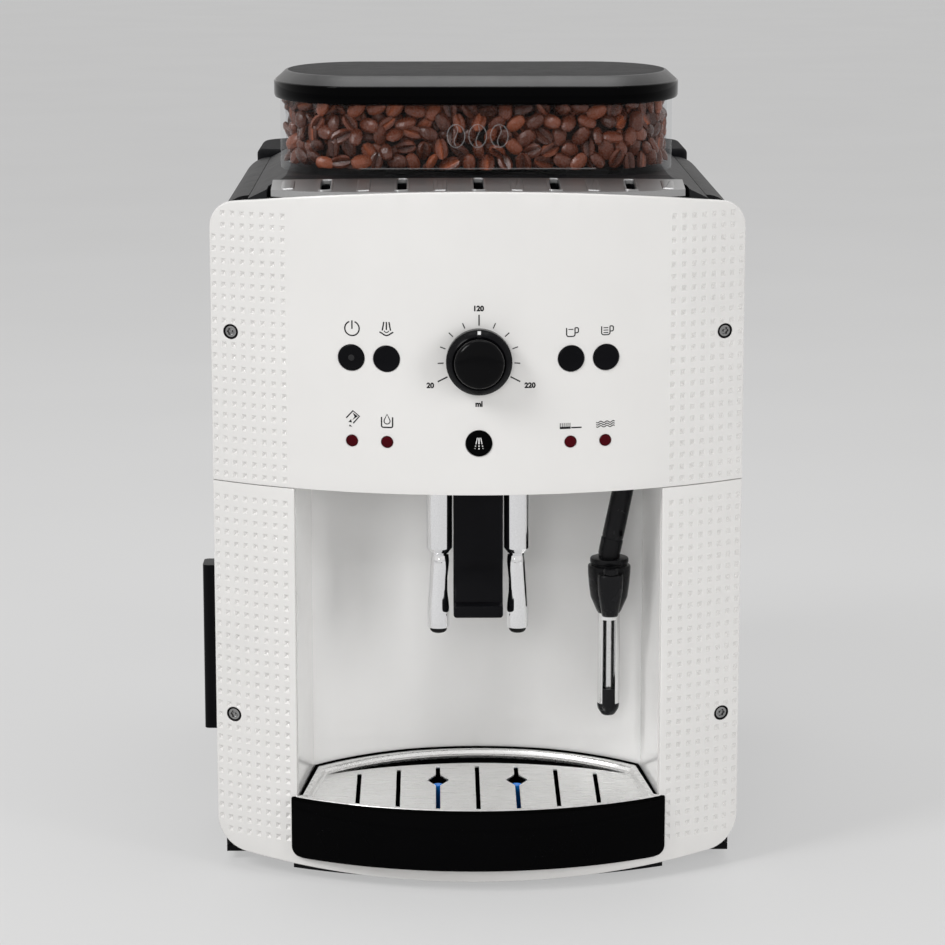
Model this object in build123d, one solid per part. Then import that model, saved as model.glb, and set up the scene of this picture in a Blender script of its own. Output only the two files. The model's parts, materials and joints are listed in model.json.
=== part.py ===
from build123d import *
import math
import os

# Bean to cup coffee machine, in millimetres. +X is the machine's right, +Y its back, +Z up.
# Pieces are laid out with X = 0 on the middle of the front, Y = 0 at the nose of the bowed front
# and Z = 0 under the feet. save() then moves each one, so that the origin is under the middle.

os.makedirs("parts", exist_ok=True)

# Gaps and walls that many pieces share
clear = 0.3         # between pieces that lie or slide beside each other
running = 0.06      # around a shaft, on the radius
fit = 0.1           # around a part pushed into its hole, on the radius
over = 10.0         # how far a cutting tool runs past what it cuts
wall = 2.5          # moulded covers

# Bowed white front
body_width = 245.0
face_radius = 207.5
face_wall = 3.0
face_bottom = 3.6
face_top = 322.5
seam_height = 185.4
seam_gap = 0.4
arch_reach, arch_drop = 105.0, 6.5      # the top edge falls by the drop at the reach
sweep_reach, sweep_rise = 111.0, 5.7    # the bottom edge climbs by the rise at the reach
top_corner, bottom_corner = 18.0, 15.0
lip_depth = 47.0                        # how far back the front's side lips reach
lip_wall = 3.2
screw_x, screw_low, screw_rise = 114.2, 71.5, 68.6      # the upper pair is placed from the seam
screw_head, screw_head_length, screw_shank, screw_length = 3.4, 1.8, 2.0, 24.0
screw_boss, screw_sink = 6.0, 0.9

# Cup bay
bay_width = 168.0
bay_back_width = 156.0
bay_side_depth, bay_depth = 62.0, 90.0
bay_front = -20.0
liner_roof = 2.5

# Dark body behind the front
side_inset = 3.5
side_round = 14.5
shoulder_drop = 8.5                     # from the level deck to the top of the sides
deck_rise = 2.5                         # of the level deck over the top of the front
deck_flat_width = 176.0
deck_wall = 6.0
deck_front_depth = 52.0                 # where the crowned front of the deck has become level
body_back = 238.0

# Base
foot_height, foot_radius, foot_x = 4.0, 9.0, 95.0
foot_front, foot_back = 62.0, 290.0
base_floor = 3.0
base_inset = 3.5
dock_height = 30.0
gland_bore, gland_radius, gland_length, gland_x, gland_height = 3.7, 7.0, 12.0, 80.0, 17.0
gland_rim, gland_rim_length = 9.0, 2.0

# Buttons, lamps and dial, whose rises are measured from the seam
button_radius, button_gap, button_proud, button_travel = 5.9, 0.12, 0.6, 1.5
button_outer_x, button_inner_x, button_rise = 57.3, 41.4, 61.9
rinse_rise = 24.0
stem_radius = 2.4
lamp_radius, lamp_rise, lamp_outer_x, lamp_inner_x = 2.65, 24.0, 57.2, 41.3
board_depth, board_thick = 20.0, 1.6
board_half, board_rise, board_height = 72.0, 11.6, 68.0
board_post, board_post_inset = 3.0, 5.0
switch_radius, switch_height = 3.0, 2.6
dial_rise, dial_ring, dial_dome = 61.6, 14.8, 11.3
dial_front, dial_ring_length, dial_dome_length = 0.5, 8.5, 4.5
dial_shaft, dial_shaft_length = 3.0, 18.5
encoder_half, encoder_length = 7.0, 8.0

# Coffee outlet, whose drops and rises are measured from the seam
outlet_x, outlet_y = 17.4, 30.0
tube_radius, tube_drop, tube_rise = 6.0, 29.7, 17.6
tube_neck, neck_length = 4.2, 2.7
spout_radius, spout_bore, spout_drop = 5.0, 2.4, 68.0
tip_radius, tip_length = 4.5, 2.3
slider_front, slider_back, slider_drop = 24.0, 40.0, 61.2
slider_lip, slider_lip_height = 6.0, 6.0
slider_bore, slider_bore_y, slider_bore_drop = 3.7, 33.0, 36.4
outlet_room_x, outlet_room_front, outlet_room_back = 25.0, 22.3, 46.6
guide_half, guide_drop, guide_rise, guide_thick = 8.0, 10.4, 33.6, 5.6
guide_gap, guide_foot, guide_foot_length = 0.4, 3.0, 16.0

# Steam wand, whose drops and rises are measured from the seam
wand_inset, wand_y = 22.5, 45.0         # the inset is from the side of the bay
wand_lean, wand_ball_rise, wand_ball = 7.7, 1.6, 7.0
arm_radius, arm_drop = 5.0, 36.1
socket_radius, socket_rise, socket_mouth = 11.5, 13.6, 9.5
collar_radius, collar_drop, collar_height = 9.0, 40.9, 2.8
nozzle_radius, nozzle_round_drop, nozzle_drop, nozzle_tip = 10.0, 58.0, 64.6, 5.0
boss_half, boss_front, boss_drop = 5.6, 28.5, 43.8
air_knob_y, air_knob_radius, air_knob_height, air_pin = 31.2, 3.4, 3.0, 1.5
air_knob_teeth = 12
sleeve_radius, sleeve_wall, sleeve_drop = 5.25, 0.7, 108.1
sleeve_slot, slot_low_drop, slot_high_drop = 6.0, 100.8, 66.3
steam_pipe_radius, steam_pipe_drop = 2.6, 109.5
wand_tip_drop, wand_tip_radius = 114.0, 5.2

# Drip tray
tray_nose, tray_gap, tray_bottom, tray_top = -7.0, 0.6, 11.0, 38.6
tray_front_drop = 24.2                  # from the nose back to the tray's front corners
tray_wall, tray_floor, tray_corner = 2.0, 2.0, 6.0
grid_edge, grid_border, grid_thick, grid_sink = 0.8, 5.2, 1.2, 3.0
grid_web = 1.2
slot_pitch, slot_width, slot_count = 18.7, 1.8, 7
slot_middle, slot_half_length, slot_taper = 39.0, 31.0, 1.0
float_window, float_y, float_post = 5.7, 50.0, 2.3
float_bar_height, float_bar_depth, float_bar_half, float_stand = 6.0, 12.0, 24.0, 0.3

# Grounds drawer
drawer_y, drawer_half, drawer_low, drawer_high = 150.0, 42.0, 28.0, 108.0
drawer_end, drawer_wall, drawer_gap = -10.0, 2.0, 0.6
plate_stand, plate_half, plate_foot = 4.5, 45.0, 27.0        # the flat plate outside the cover
grip_stand, grip_depth, grip_low, grip_high, grip_round = 14.0, 15.0, 48.3, 130.2, 2.5
finger_radius, finger_depth, finger_end = 12.0, 4.0, 8.0
rail_width = 6.0

# Hopper and lid
lid_half, lid_straight, lid_depth, lid_front = 95.5, 55.0, 121.0, 44.0
hopper_height, lid_rim_height, lid_rise, lid_bevel = 34.0, 7.0, 5.0, 6.0
lid_plug, lid_plug_wall = 6.0, 2.0
hopper_inset, hopper_wall, hopper_floor = 2.8, 2.5, 2.5
funnel_top, funnel_depth, funnel_throat = 40.0, 33.0, 17.0
funnel_wall = 2.5
knob_x, knob_radius, knob_height, knob_shaft, knob_shaft_depth = 66.0, 11.0, 10.0, 3.0, 20.0

# Cup-warming grille
grille_half, grille_room, grille_depth, grille_back = 93.5, 2.0, 9.0, 44.0
grille_slot_pitch, grille_slot_width, grille_slot_count = 34.4, 4.4, 5
grille_slot_front, grille_slot_back = 9.0, 40.0

# Grinder, standing on the upper plate of the chassis
plate_thick = 3.0
gear_teeth, pinion_teeth, gear_module = 48, 14, 1.5
gear_thick, gear_lift, gear_slack = 7.0, 2.0, 0.15
pinion_phase_share = 0.5                # of a pinion tooth, so that the teeth mesh at rest
housing_radius, housing_wall, housing_height = 34.0, 3.0, 35.5
housing_seat, housing_stand = 0.5, 13.0  # under the funnel, and over the chassis plate's underside
burr_outer, burr_thick, burr_bore_top, burr_bore_low = 29.0, 14.0, 15.0, 22.0
cone_top, cone_low, cone_height, cone_shaft = 9.0, 20.0, 22.0, 4.0
motor_radius, motor_length, motor_shaft = 22.0, 44.0, 3.0
spout_out, spout_half, spout_height, spout_wall = 70.0, 8.0, 10.0, 2.0
chute_half = 8.0

# Brewing and water works
shelf_rise, shelf_thick, shelf_front = 3.6, 3.0, 97.0
post_width, post_depth, rear_post_y = 10.0, 10.0, 214.0
brew_x, brew_y, brew_outer, brew_bore = -60.0, 128.0, 24.0, 19.0
brew_height, brew_flange, brew_flange_thick = 62.0, 28.0, 3.0
brew_drop = 48.4                        # from the seam to the foot of the cylinder
head_thick = 8.0
piston_thick, piston_lift, rod_radius, rod_reach = 10.0, 8.0, 5.0, 16.0
heater_left, heater_right, heater_front, heater_back, heater_thick = 28.0, 104.0, 142.0, 206.0, 34.0
heater_fin, heater_fin_pitch, heater_fin_depth = 3.0, 9.0, 4.0
pump_x, pump_radius, pump_front, pump_back, pump_height = 66.0, 17.0, 132.0, 200.0, 36.0
pump_neck, pump_neck_length, pump_saddle = 5.0, 6.0, 8.0
hose_outer, hose_bore, hose_bend, feed_bend = 3.2, 1.8, 30.0, 4.2
hose_room = 2.0                         # around a hose where it passes a cover
run_share = 0.45                        # of the shorter run, taken by an arc on each side of a corner
spigot_x, spigot_y, spigot_radius, spigot_high = 60.0, 278.0, 8.0, 38.0
pipe_drop = 15.0
coffee_pipe_drop = 4.4

# Water tank
tank_front, tank_back, tank_half, tank_corner, tank_wall = 241.0, 314.0, 112.0, 20.0, 3.0
tank_front_corner = 8.0
tank_drop, tank_lid_height, tank_lid_skirt = 17.0, 12.0, 5.0
hinge_radius, hinge_pin = 3.0, 1.6
ear_x, ear_half, ear_pin_reach = 43.0, 3.0, 4.0

base_top = foot_height + base_floor
deck_top = face_top + deck_rise
side_top = deck_top - shoulder_drop
screw_high = seam_height + screw_rise
button_height, rinse_height = seam_height + button_rise, seam_height + rinse_rise
lamp_height, dial_height = seam_height + lamp_rise, seam_height + dial_rise
board_low = seam_height + board_rise
board_high = board_low + board_height
tube_low, tube_high = seam_height - tube_drop, seam_height + tube_rise
spout_low = seam_height - spout_drop
slider_low, slider_bore_low = seam_height - slider_drop, seam_height - slider_bore_drop
guide_low, guide_high = seam_height - guide_drop, seam_height + guide_rise
wand_x = bay_width / 2 - wand_inset
wand_ball_x, wand_ball_z = wand_x + wand_lean, seam_height + wand_ball_rise
arm_foot_z, socket_high = seam_height - arm_drop, seam_height + socket_rise
collar_low = seam_height - collar_drop
collar_high = collar_low + collar_height
nozzle_round_low, nozzle_low = seam_height - nozzle_round_drop, seam_height - nozzle_drop
boss_high, sleeve_low = seam_height - boss_drop, seam_height - sleeve_drop
slot_low, slot_high = seam_height - slot_low_drop, seam_height - slot_high_drop
steam_pipe_low, wand_tip_low = seam_height - steam_pipe_drop, seam_height - wand_tip_drop
coffee_pipe_low = seam_height - coffee_pipe_drop
lid_rim_low = deck_top + hopper_height
lid_rim_high = lid_rim_low + lid_rim_height
lid_high = lid_rim_high + lid_rise
funnel_low, knob_shaft_low = deck_top - funnel_depth, deck_top - knob_shaft_depth
grille_low, tank_top = deck_top - grille_depth, deck_top - tank_drop
housing_high = funnel_low - housing_seat
housing_low = housing_high - housing_height
plate_low = housing_low - housing_stand
shelf_low = seam_height + shelf_rise
brew_low = seam_height - brew_drop
brew_high = brew_low + brew_height
piston_rest, rod_low = brew_low + piston_lift, brew_low - rod_reach
inner_radius = face_radius - face_wall
side_x = body_width / 2 - side_inset
plate_out, grip_out = side_x + plate_stand, side_x + grip_stand
lid_y = lid_front + lid_depth / 2
arch_radius = (arch_reach**2 + arch_drop**2) / (2 * arch_drop)
sweep_radius = (sweep_reach**2 + sweep_rise**2) / (2 * sweep_rise)
gear_radius = gear_module * gear_teeth / 2
pinion_radius = gear_module * pinion_teeth / 2
motor_x = gear_radius + pinion_radius
plate_top = plate_low + plate_thick
post_high = side_top - side_round
shelf_top = shelf_low + shelf_thick
bay_roof_low = seam_height + clear
origin_x = (body_width / 2 - grip_out) / 2
origin_y = (tank_back - dial_front - dial_ring_length - dial_dome_length) / 2


def face_y(x, radius=face_radius):
    """Depth of an upright cylinder of the front's axis at a place across it."""
    return face_radius - math.sqrt(radius**2 - x**2)


def block(x, y, z):
    """A box between pairs of corners (low, high) along each axis."""
    spans = [high - low for low, high in (x, y, z)]
    middle = [(low + high) / 2 for low, high in (x, y, z)]
    return Pos(*middle) * Box(*spans)


def rod(radius, z, at=(0, 0)):
    """An upright round bar between two heights."""
    return Pos(at[0], at[1], (z[0] + z[1]) / 2) * Cylinder(radius, z[1] - z[0])


def rod_y(radius, y, at):
    """A round bar that runs from front to back, at (x, z)."""
    return Pos(at[0], (y[0] + y[1]) / 2, at[1]) * Rot(90, 0, 0) * Cylinder(radius, y[1] - y[0])


def rod_x(radius, x, at):
    """A round bar that runs across, at (y, z)."""
    return Pos((x[0] + x[1]) / 2, at[0], at[1]) * Rot(0, 90, 0) * Cylinder(radius, x[1] - x[0])


def rise(face, z):
    """Raise a plan outline from one height to another."""
    return Pos(0, 0, z[0]) * extrude(face, z[1] - z[0])


def stand(face, y):
    """Run a front outline, drawn in x and z, from one depth to another."""
    return extrude(Plane(origin=(0, y[1], 0), x_dir=(1, 0, 0), z_dir=(0, -1, 0)) * face, y[1] - y[0])


def bend_radii(points, limit):
    """Tangent arcs for a route's corners: 0.45 of the shorter run over tan(turn / 2), up to a limit."""
    radii = []
    for before, corner, after in zip(points, points[1:], points[2:]):
        into, out = Vector(*corner) - Vector(*before), Vector(*after) - Vector(*corner)
        half_turn = math.radians(into.get_angle(out) / 2)
        radii.append(min(limit, run_share * min(into.length, out.length) / math.tan(half_turn)))
    return radii


def hose(points, limit=hose_bend):
    """A tube along straight runs joined by tangent arcs."""
    path = FilletPolyline(*points, radius=bend_radii(points, limit))
    ring = Circle(hose_outer) - Circle(hose_bore)
    return sweep(Plane(path @ 0, z_dir=path % 0) * ring, path=path)


def save(name, *solids):
    """Write one node, moved so that the origin is under the middle of the whole machine."""
    found = []
    for solid in solids:
        found += solid.solids()
    moved = [piece.moved(Location((-origin_x, -origin_y, 0))) for piece in found]
    shape = moved[0] if len(moved) == 1 else Compound(children=moved)
    export_step(shape, "parts/" + name + ".step")


# White front

def face_outline():
    """The front seen from ahead: arched top, swept bottom and rounded corners."""
    middle = (face_top + face_bottom) / 2
    sheet = Pos(0, middle) * Rectangle(body_width, face_top - face_bottom)
    sheet = sheet & Pos(0, face_top - arch_radius) * Circle(arch_radius)
    sheet = sheet & Pos(0, face_bottom + sweep_radius) * Circle(sweep_radius)
    sheet = fillet(sheet.vertices().sort_by(Axis.Y)[-2:], top_corner)
    return fillet(sheet.vertices().sort_by(Axis.Y)[:2], bottom_corner)


def front_shell(z):
    """The part of the bowed front between two heights, with its lips turned back at both sides."""
    band = Pos(0, (z[0] + z[1]) / 2) * Rectangle(body_width + over, z[1] - z[0])
    outline = face_outline() & band
    axis = (0, face_radius)
    height = (-over, face_top + over)
    solid = stand(outline, (-over, lip_depth)) & rod(face_radius, height, axis)
    core = rod(inner_radius, (-2 * over, face_top + 2 * over), axis)
    lip_x = body_width / 2 - lip_wall
    keep = block((-lip_x, lip_x), (-over, lip_depth + over), (-2 * over, face_top + 2 * over))
    return solid - (core & keep)


def front_bosses(heights, sign):
    """Screw bosses inside one side of the front."""
    bosses = [rod_y(screw_boss, (face_y(screw_x) - over, lip_depth), (sign * screw_x, z)) for z in heights]
    shape = rod(face_radius - face_wall / 2, (0, face_top), (0, face_radius))
    return [boss & shape for boss in bosses]


def screw_front():
    return face_y(screw_x) + screw_sink


def screw_cut(z, sign):
    """The through hole and the sink for one screw."""
    at = (sign * screw_x, z)
    sink = rod_y(screw_head + fit, (-over, screw_front() + screw_head_length), at)
    return sink + rod_y(screw_shank + fit, (0, lip_depth + over), at)


def panel_screw(z, sign):
    at = (sign * screw_x, z)
    head = rod_y(screw_head, (screw_front(), screw_front() + screw_head_length), at)
    star = rod_y(screw_shank / 2, (screw_front() - over, screw_front() + screw_head_length / 2), at)
    shank = rod_y(screw_shank, (screw_front() + screw_head_length, screw_front() + screw_length), at)
    return head + shank - star


button_places = {
    "power_button": (-button_outer_x, button_height),
    "steam_button": (-button_inner_x, button_height),
    "one_cup_button": (button_inner_x, button_height),
    "two_cup_button": (button_outer_x, button_height),
    "rinse_button": (0, rinse_height),
}
lamp_places = [(x, lamp_height) for x in (-lamp_outer_x, -lamp_inner_x, lamp_inner_x, lamp_outer_x)]
switch_front = board_depth - switch_height
stem_end = switch_front - button_travel - clear


def control_panel():
    shell = front_shell((seam_height + seam_gap / 2, face_top + over))
    post_x = board_half - board_post_inset
    inside = rod(face_radius - face_wall / 2, (0, face_top), (0, face_radius))
    for sign in (-1, 1):
        for boss in front_bosses([screw_high], sign):
            shell += boss
        for z in (board_low + board_post_inset, board_high - board_post_inset):
            shell += rod_y(board_post, (0, board_depth), (sign * post_x, z)) & inside
        shell -= screw_cut(screw_high, sign)
    for at in button_places.values():
        shell -= rod_y(button_radius + button_gap, (-over, board_depth), at)
    for at in lamp_places:
        shell -= rod_y(lamp_radius + fit, (-over, board_depth), at)
    return shell - rod_y(dial_shaft + clear, (-over, board_depth), (0, dial_height))


def lower_frame():
    shell = front_shell((-over, seam_height - seam_gap / 2))
    for sign in (-1, 1):
        for boss in front_bosses([screw_low], sign):
            shell += boss
        shell -= screw_cut(screw_low, sign)
    opening = Pos(0, (tray_bottom + seam_height) / 2) * Rectangle(bay_width, seam_height - tray_bottom)
    opening = Pos(0, -tray_gap) * opening
    opening = fillet(opening.vertices().sort_by(Axis.Y)[:2], tray_corner)
    upper = Pos(0, seam_height) * Rectangle(bay_width, 2 * over)
    return shell - stand(opening + upper, (-over, lip_depth + over))


def bay_plan(inset=0.0):
    """The cup bay from above: leaning sides and a hollow back, drawn inwards by the inset."""
    front, back = bay_width / 2, bay_back_width / 2
    sides = Polyline((back, bay_side_depth), (front, face_y(front)), (front, bay_front),
                     (-front, bay_front), (-front, face_y(front)), (-back, bay_side_depth))
    curve = ThreePointArc((-back, bay_side_depth), (0, bay_depth), (back, bay_side_depth))
    plan = make_face(sides + curve)
    return offset(plan, -inset, kind=Kind.INTERSECTION) if inset else plan


def bay_liner():
    roof_high = bay_roof_low + liner_roof
    height = (base_top + clear, roof_high)
    solid = rise(bay_plan(-wall), height) - rise(bay_plan(), (0, bay_roof_low))
    solid = solid & rod(inner_radius - clear, (0, face_top), (0, face_radius))
    room = block((-outlet_room_x, outlet_room_x), (outlet_room_front, outlet_room_back),
                 (bay_roof_low - over, roof_high + over))
    mouth = rod(socket_mouth, (bay_roof_low - over, roof_high + over), (wand_ball_x, wand_y))
    return solid - room - mouth


# Dark covers

def body_section(inset=0.0):
    """The body behind the front, cut across: upright sides, round shoulders and a level deck."""
    x, flat = side_x - inset, deck_flat_width / 2
    radius = side_round - inset
    shoulder_x, shoulder_z = side_x - side_round, side_top - side_round
    corner = math.sqrt(0.5) * radius
    top = deck_top - inset
    low = base_top + clear
    right = Polyline((0, low), (x, low), (x, shoulder_z))
    right += ThreePointArc((x, shoulder_z), (shoulder_x + corner, shoulder_z + corner),
                           (shoulder_x, shoulder_z + radius))
    right += Polyline((shoulder_x, shoulder_z + radius), (flat, top), (0, top), (0, low))
    half = make_face(right)
    return half + mirror(half, Plane.YZ)


def side_cover(sign):
    ring = body_section() - body_section(wall)
    solid = stand(ring, (lip_depth + clear, body_back))
    edge = side_x - side_round + clear / 2
    solid = solid & block(sorted((sign * edge, sign * (side_x + over))), (0, body_back + over),
                          (base_top + 2 * clear, face_top + over))
    if sign < 0:
        solid -= block((-side_x - over, -side_x + over),
                       (drawer_y - drawer_half - drawer_gap, drawer_y + drawer_half + drawer_gap),
                       (drawer_low - drawer_gap, drawer_high + drawer_gap))
    return solid


def crown():
    """Everything under the top of the deck: its front edge follows the arch of the front's top."""
    reach = side_x
    fall = arch_radius - math.sqrt(arch_radius**2 - reach**2)
    top = face_top - clear
    arch = ThreePointArc((-reach, top - fall), (0, top), (reach, top - fall))
    sides = Polyline((reach, top - fall), (reach, seam_height), (-reach, seam_height),
                     (-reach, top - fall))
    ahead = Plane(origin=(0, 0, 0), x_dir=(1, 0, 0), z_dir=(0, -1, 0)) * make_face(arch + sides)
    flat = Pos(0, (deck_top + seam_height) / 2) * Rectangle(2 * reach, deck_top - seam_height)
    behind = Plane(origin=(0, deck_front_depth, 0), x_dir=(1, 0, 0), z_dir=(0, -1, 0)) * flat
    slope = loft([ahead, behind], ruled=True)
    level = block((-reach, reach), (deck_front_depth, body_back), (seam_height, deck_top))
    return slope + level


def top_deck():
    edge = side_x - side_round - clear / 2
    solid = stand(body_section() - body_section(deck_wall), (0, body_back)) & crown()
    solid = solid & block((-edge, edge), (0, body_back), (seam_height, deck_top + over))
    solid = solid & rod(inner_radius - clear, (0, deck_top + over), (0, face_radius))
    solid -= rod(funnel_top + funnel_wall + clear, (seam_height, deck_top + over), (0, lid_y))
    solid -= rod(knob_shaft + clear, (seam_height, deck_top + over), (knob_x, lid_y))
    room = grille_half + grille_room
    return solid - block((-room, room), (-over, grille_back + clear), (grille_low, deck_top + over))


def cup_grille():
    solid = block((-grille_half, grille_half), (0, grille_back), (grille_low, deck_top)) & crown()
    solid = solid & rod(inner_radius - 2 * clear, (0, deck_top + over), (0, face_radius))
    for index in range(grille_slot_count):
        x = (index - (grille_slot_count - 1) / 2) * grille_slot_pitch
        front = face_y(x) + grille_slot_front
        solid -= block((x - grille_slot_width / 2, x + grille_slot_width / 2), (front, grille_slot_back),
                       (grille_low - over, deck_top + over))
    return solid


def rear_cover():
    """A plate across the back of the covers, with a hole for the hose from the tank."""
    plate = stand(body_section(), (body_back, body_back + wall))
    hole = (pump_x - hose_outer / 2, base_top + 2 * hose_outer + hose_outer / 4)
    return plate - rod_y(hose_outer + hose_room, (body_back - over, body_back + over), hole)


# Base, feet and chassis

def base_plate():
    """Floor pan, drawer rails, tray ledge, and the dock at the back that the water tank stands on."""
    half = body_width / 2 - base_inset
    floor = block((-half, half), (lip_depth + clear, body_back + wall), (foot_height, base_top))
    front = rise(bay_plan(-wall - clear), (foot_height, base_top))
    front = front & rod(inner_radius - clear, (0, base_top + over), (0, face_radius))
    ledge = rise(bay_plan(tray_gap), (foot_height, tray_bottom - clear))
    ledge = ledge & rod(inner_radius - clear, (0, tray_bottom + over), (0, face_radius))
    solid = floor + front + ledge
    open_front = Pos(0, tank_front) * Rectangle(2 * (tank_half - 2 * wall), 2 * over)
    behind = block((-side_x, side_x), (body_back + wall, tank_back), (foot_height, dock_height))
    outer = rise(tank_plan() + Pos(0, body_back + wall + over / 2) * Rectangle(
        2 * tank_half, over), (foot_height, dock_height)) & behind
    solid += outer - rise(tank_plan(wall) + open_front, (base_top, dock_height - wall))
    for y in (drawer_y - drawer_half, drawer_y + drawer_half - rail_width):
        solid += block((-side_x + wall + clear, drawer_end), (y, y + rail_width),
                       (foot_height, drawer_low - clear))
    for y in (pump_front + pump_saddle, pump_back - 2 * pump_saddle):
        solid += block((pump_x - pump_radius, pump_x + pump_radius), (y, y + pump_saddle),
                       (foot_height, pump_height))
    solid -= rod_y(pump_radius, (pump_front, pump_back), (pump_x, pump_height))
    solid += rod(spigot_radius, (dock_height - wall, spigot_high), (spigot_x, spigot_y))
    solid -= rod(hose_bore, (base_top, spigot_high + over), (spigot_x, spigot_y))
    return solid - rod_y(gland_radius, (tank_back - wall - over, tank_back + over),
                         (gland_x, gland_height))


def feet():
    places = [(x, y) for x in (-foot_x, foot_x) for y in (foot_front, foot_back)]
    return [rod(foot_radius, (0, foot_height), at) for at in places]


def cord_gland():
    """Rubber bush in the dock's back wall that the power lead comes out through."""
    at = (gland_x, gland_height)
    bush = rod_y(gland_radius, (tank_back - gland_length, tank_back), at)
    rim = rod_y(gland_rim, (tank_back - wall - gland_rim_length, tank_back - wall), at)
    return bush + rim - rod_y(gland_bore, (tank_back - gland_length - over, tank_back + over), at)


def chassis():
    """Four posts, the shelf over the drawer and the plate under the grinder, in one moulding."""
    outer = side_x - wall - clear
    inner = outer - post_width
    front = lip_depth + clear
    solid = block((-outer, outer), (rear_post_y, rear_post_y + post_depth), (shelf_low, shelf_top))
    for sign in (-1, 1):
        for y in (front, rear_post_y):
            solid += block(sorted((sign * inner, sign * outer)), (y, y + post_depth), (base_top, post_high))
        solid += block(sorted((sign * inner, sign * outer)), (front, rear_post_y), (shelf_low, shelf_top))
        solid += block(sorted((sign * inner, sign * outer)), (front, rear_post_y), (plate_low, plate_top))
        for z in (screw_low, screw_high):
            solid -= rod_y(screw_shank + fit, (0, lip_depth + over + post_depth), (sign * screw_x, z))
    solid += block((-outer, outer), (shelf_front, rear_post_y), (shelf_low, shelf_top))
    solid += block((-outer, outer), (lid_y - housing_radius - over, rear_post_y + post_depth),
                   (plate_low, plate_top))
    solid -= rod(brew_outer + clear, (shelf_low - over, shelf_top + over), (brew_x, brew_y))
    solid -= rod(cone_shaft + running, (plate_low - over, plate_top + over), (0, lid_y))
    solid -= rod(motor_shaft + clear, (plate_low - over, plate_top + over), (motor_x, lid_y))
    solid -= block((chute_x - chute_half - clear, chute_x + chute_half + clear),
                   (lid_y - chute_half - clear, lid_y + chute_half + clear),
                   (plate_low - over, plate_top + over))
    solid -= rod(hose_outer + clear, (shelf_low - over, shelf_top + over), (riser_x, riser_y))
    return solid


# Controls

def board():
    plate = block((-board_half, board_half), (board_depth, board_depth + board_thick),
                  (board_low, board_high))
    for at in button_places.values():
        plate += rod_y(switch_radius, (switch_front, board_depth), at)
    return plate


def button(at):
    """A cap that follows the bowed face, on a stem that reaches its switch."""
    back = face_y(abs(at[0]) + button_radius, inner_radius) + clear
    cap = rod_y(button_radius, (-over, back), at)
    cap = cap & rod(face_radius + button_proud, (0, face_top), (0, face_radius))
    return cap + rod_y(stem_radius, (back, stem_end), at)


def lamp(at):
    """A light pipe from the face to the board."""
    pipe = rod_y(lamp_radius, (-over, board_depth), at)
    return pipe & rod(face_radius, (0, face_top), (0, face_radius))


def dial_knob():
    at = (0, dial_height)
    ring_front = -dial_front - dial_ring_length
    ring = rod_y(dial_ring, (ring_front, -dial_front), at)
    ring = chamfer(ring.edges().filter_by(GeomType.CIRCLE).sort_by(Axis.Y)[0], dial_ring - dial_dome - clear)
    dome = rod_y(dial_dome, (ring_front - dial_dome_length, ring_front), at)
    dome = fillet(dome.edges().filter_by(GeomType.CIRCLE).sort_by(Axis.Y)[0], dial_dome_length / 2)
    return ring + dome + rod_y(dial_shaft, (-dial_front, dial_shaft_length), at)


def dial_encoder():
    body = block((-encoder_half, encoder_half), (board_depth - encoder_length, board_depth),
                 (dial_height - encoder_half, dial_height + encoder_half))
    return body - rod_y(dial_shaft + running, (0, dial_shaft_length + clear), (0, dial_height))


# Coffee outlet

def outlet_tube(sign):
    at = (sign * outlet_x, outlet_y)
    tube = rod(tube_radius, (tube_low, tube_high), at)
    neck = Pos(*at, tube_low - neck_length / 2) * Cone(tube_neck, tube_radius, neck_length)
    bore = rod(spout_bore, (tube_low - neck_length - over, tube_high + over), at)
    return tube + neck - bore


def outlet_spout(sign):
    at = (sign * outlet_x, outlet_y)
    high = tube_low - neck_length
    spout = rod(spout_radius, (spout_low, high), at)
    return spout - rod(spout_bore, (spout_low - over, high + over), at)


def spout_tip(sign):
    at = (sign * outlet_x, outlet_y)
    tip = rod(tip_radius, (spout_low - tip_length, spout_low), at)
    return tip - rod(spout_bore, (spout_low - over, spout_low + over), at)


def outlet_slider():
    """The black grip between the tubes, with a lip to push it by and a bore that the feed pipe fits."""
    half = outlet_x - tube_radius
    body = block((-half, half), (slider_front, slider_back), (slider_low, tube_high))
    lip = block((-half, half), (slider_front - slider_lip, slider_front),
                (slider_low, slider_low + slider_lip_height))
    bore = rod(slider_bore, (slider_bore_low, tube_high + over), (0, slider_bore_y))
    return body + lip - bore


def outlet_guide():
    """The fixed rail behind the slider, standing on the bay's roof."""
    roof_high = bay_roof_low + liner_roof
    front = slider_back + guide_gap
    back = front + guide_thick
    rail = block((-guide_half, guide_half), (front, back), (guide_low, guide_high))
    foot = block((-guide_half, guide_half), (front, back + guide_foot_length),
                 (roof_high, roof_high + guide_foot))
    return rail + foot


# Steam wand

def wand_socket():
    roof_high = bay_roof_low + liner_roof
    cup = rod(socket_radius, (roof_high, socket_high), (wand_ball_x, wand_y))
    return cup - Pos(wand_ball_x, wand_y, wand_ball_z) * Sphere(wand_ball + clear)


def wand_arm():
    """A ball and a leaning tube that ends upright in the collar."""
    top = Vector(wand_ball_x, wand_y, wand_ball_z)
    foot = Vector(wand_x, wand_y, arm_foot_z)
    lean = Plane((top + foot) / 2, z_dir=foot - top)
    tube = lean * Cylinder(arm_radius, (foot - top).length)
    joint = Pos(*foot) * Sphere(arm_radius)
    end = rod(arm_radius, (collar_high, arm_foot_z), (wand_x, wand_y))
    return Pos(*top) * Sphere(wand_ball) + tube + joint + end - block(
        (wand_x - over, wand_x + over), (wand_y - over, wand_y + over), (collar_high - over, collar_high))


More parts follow.
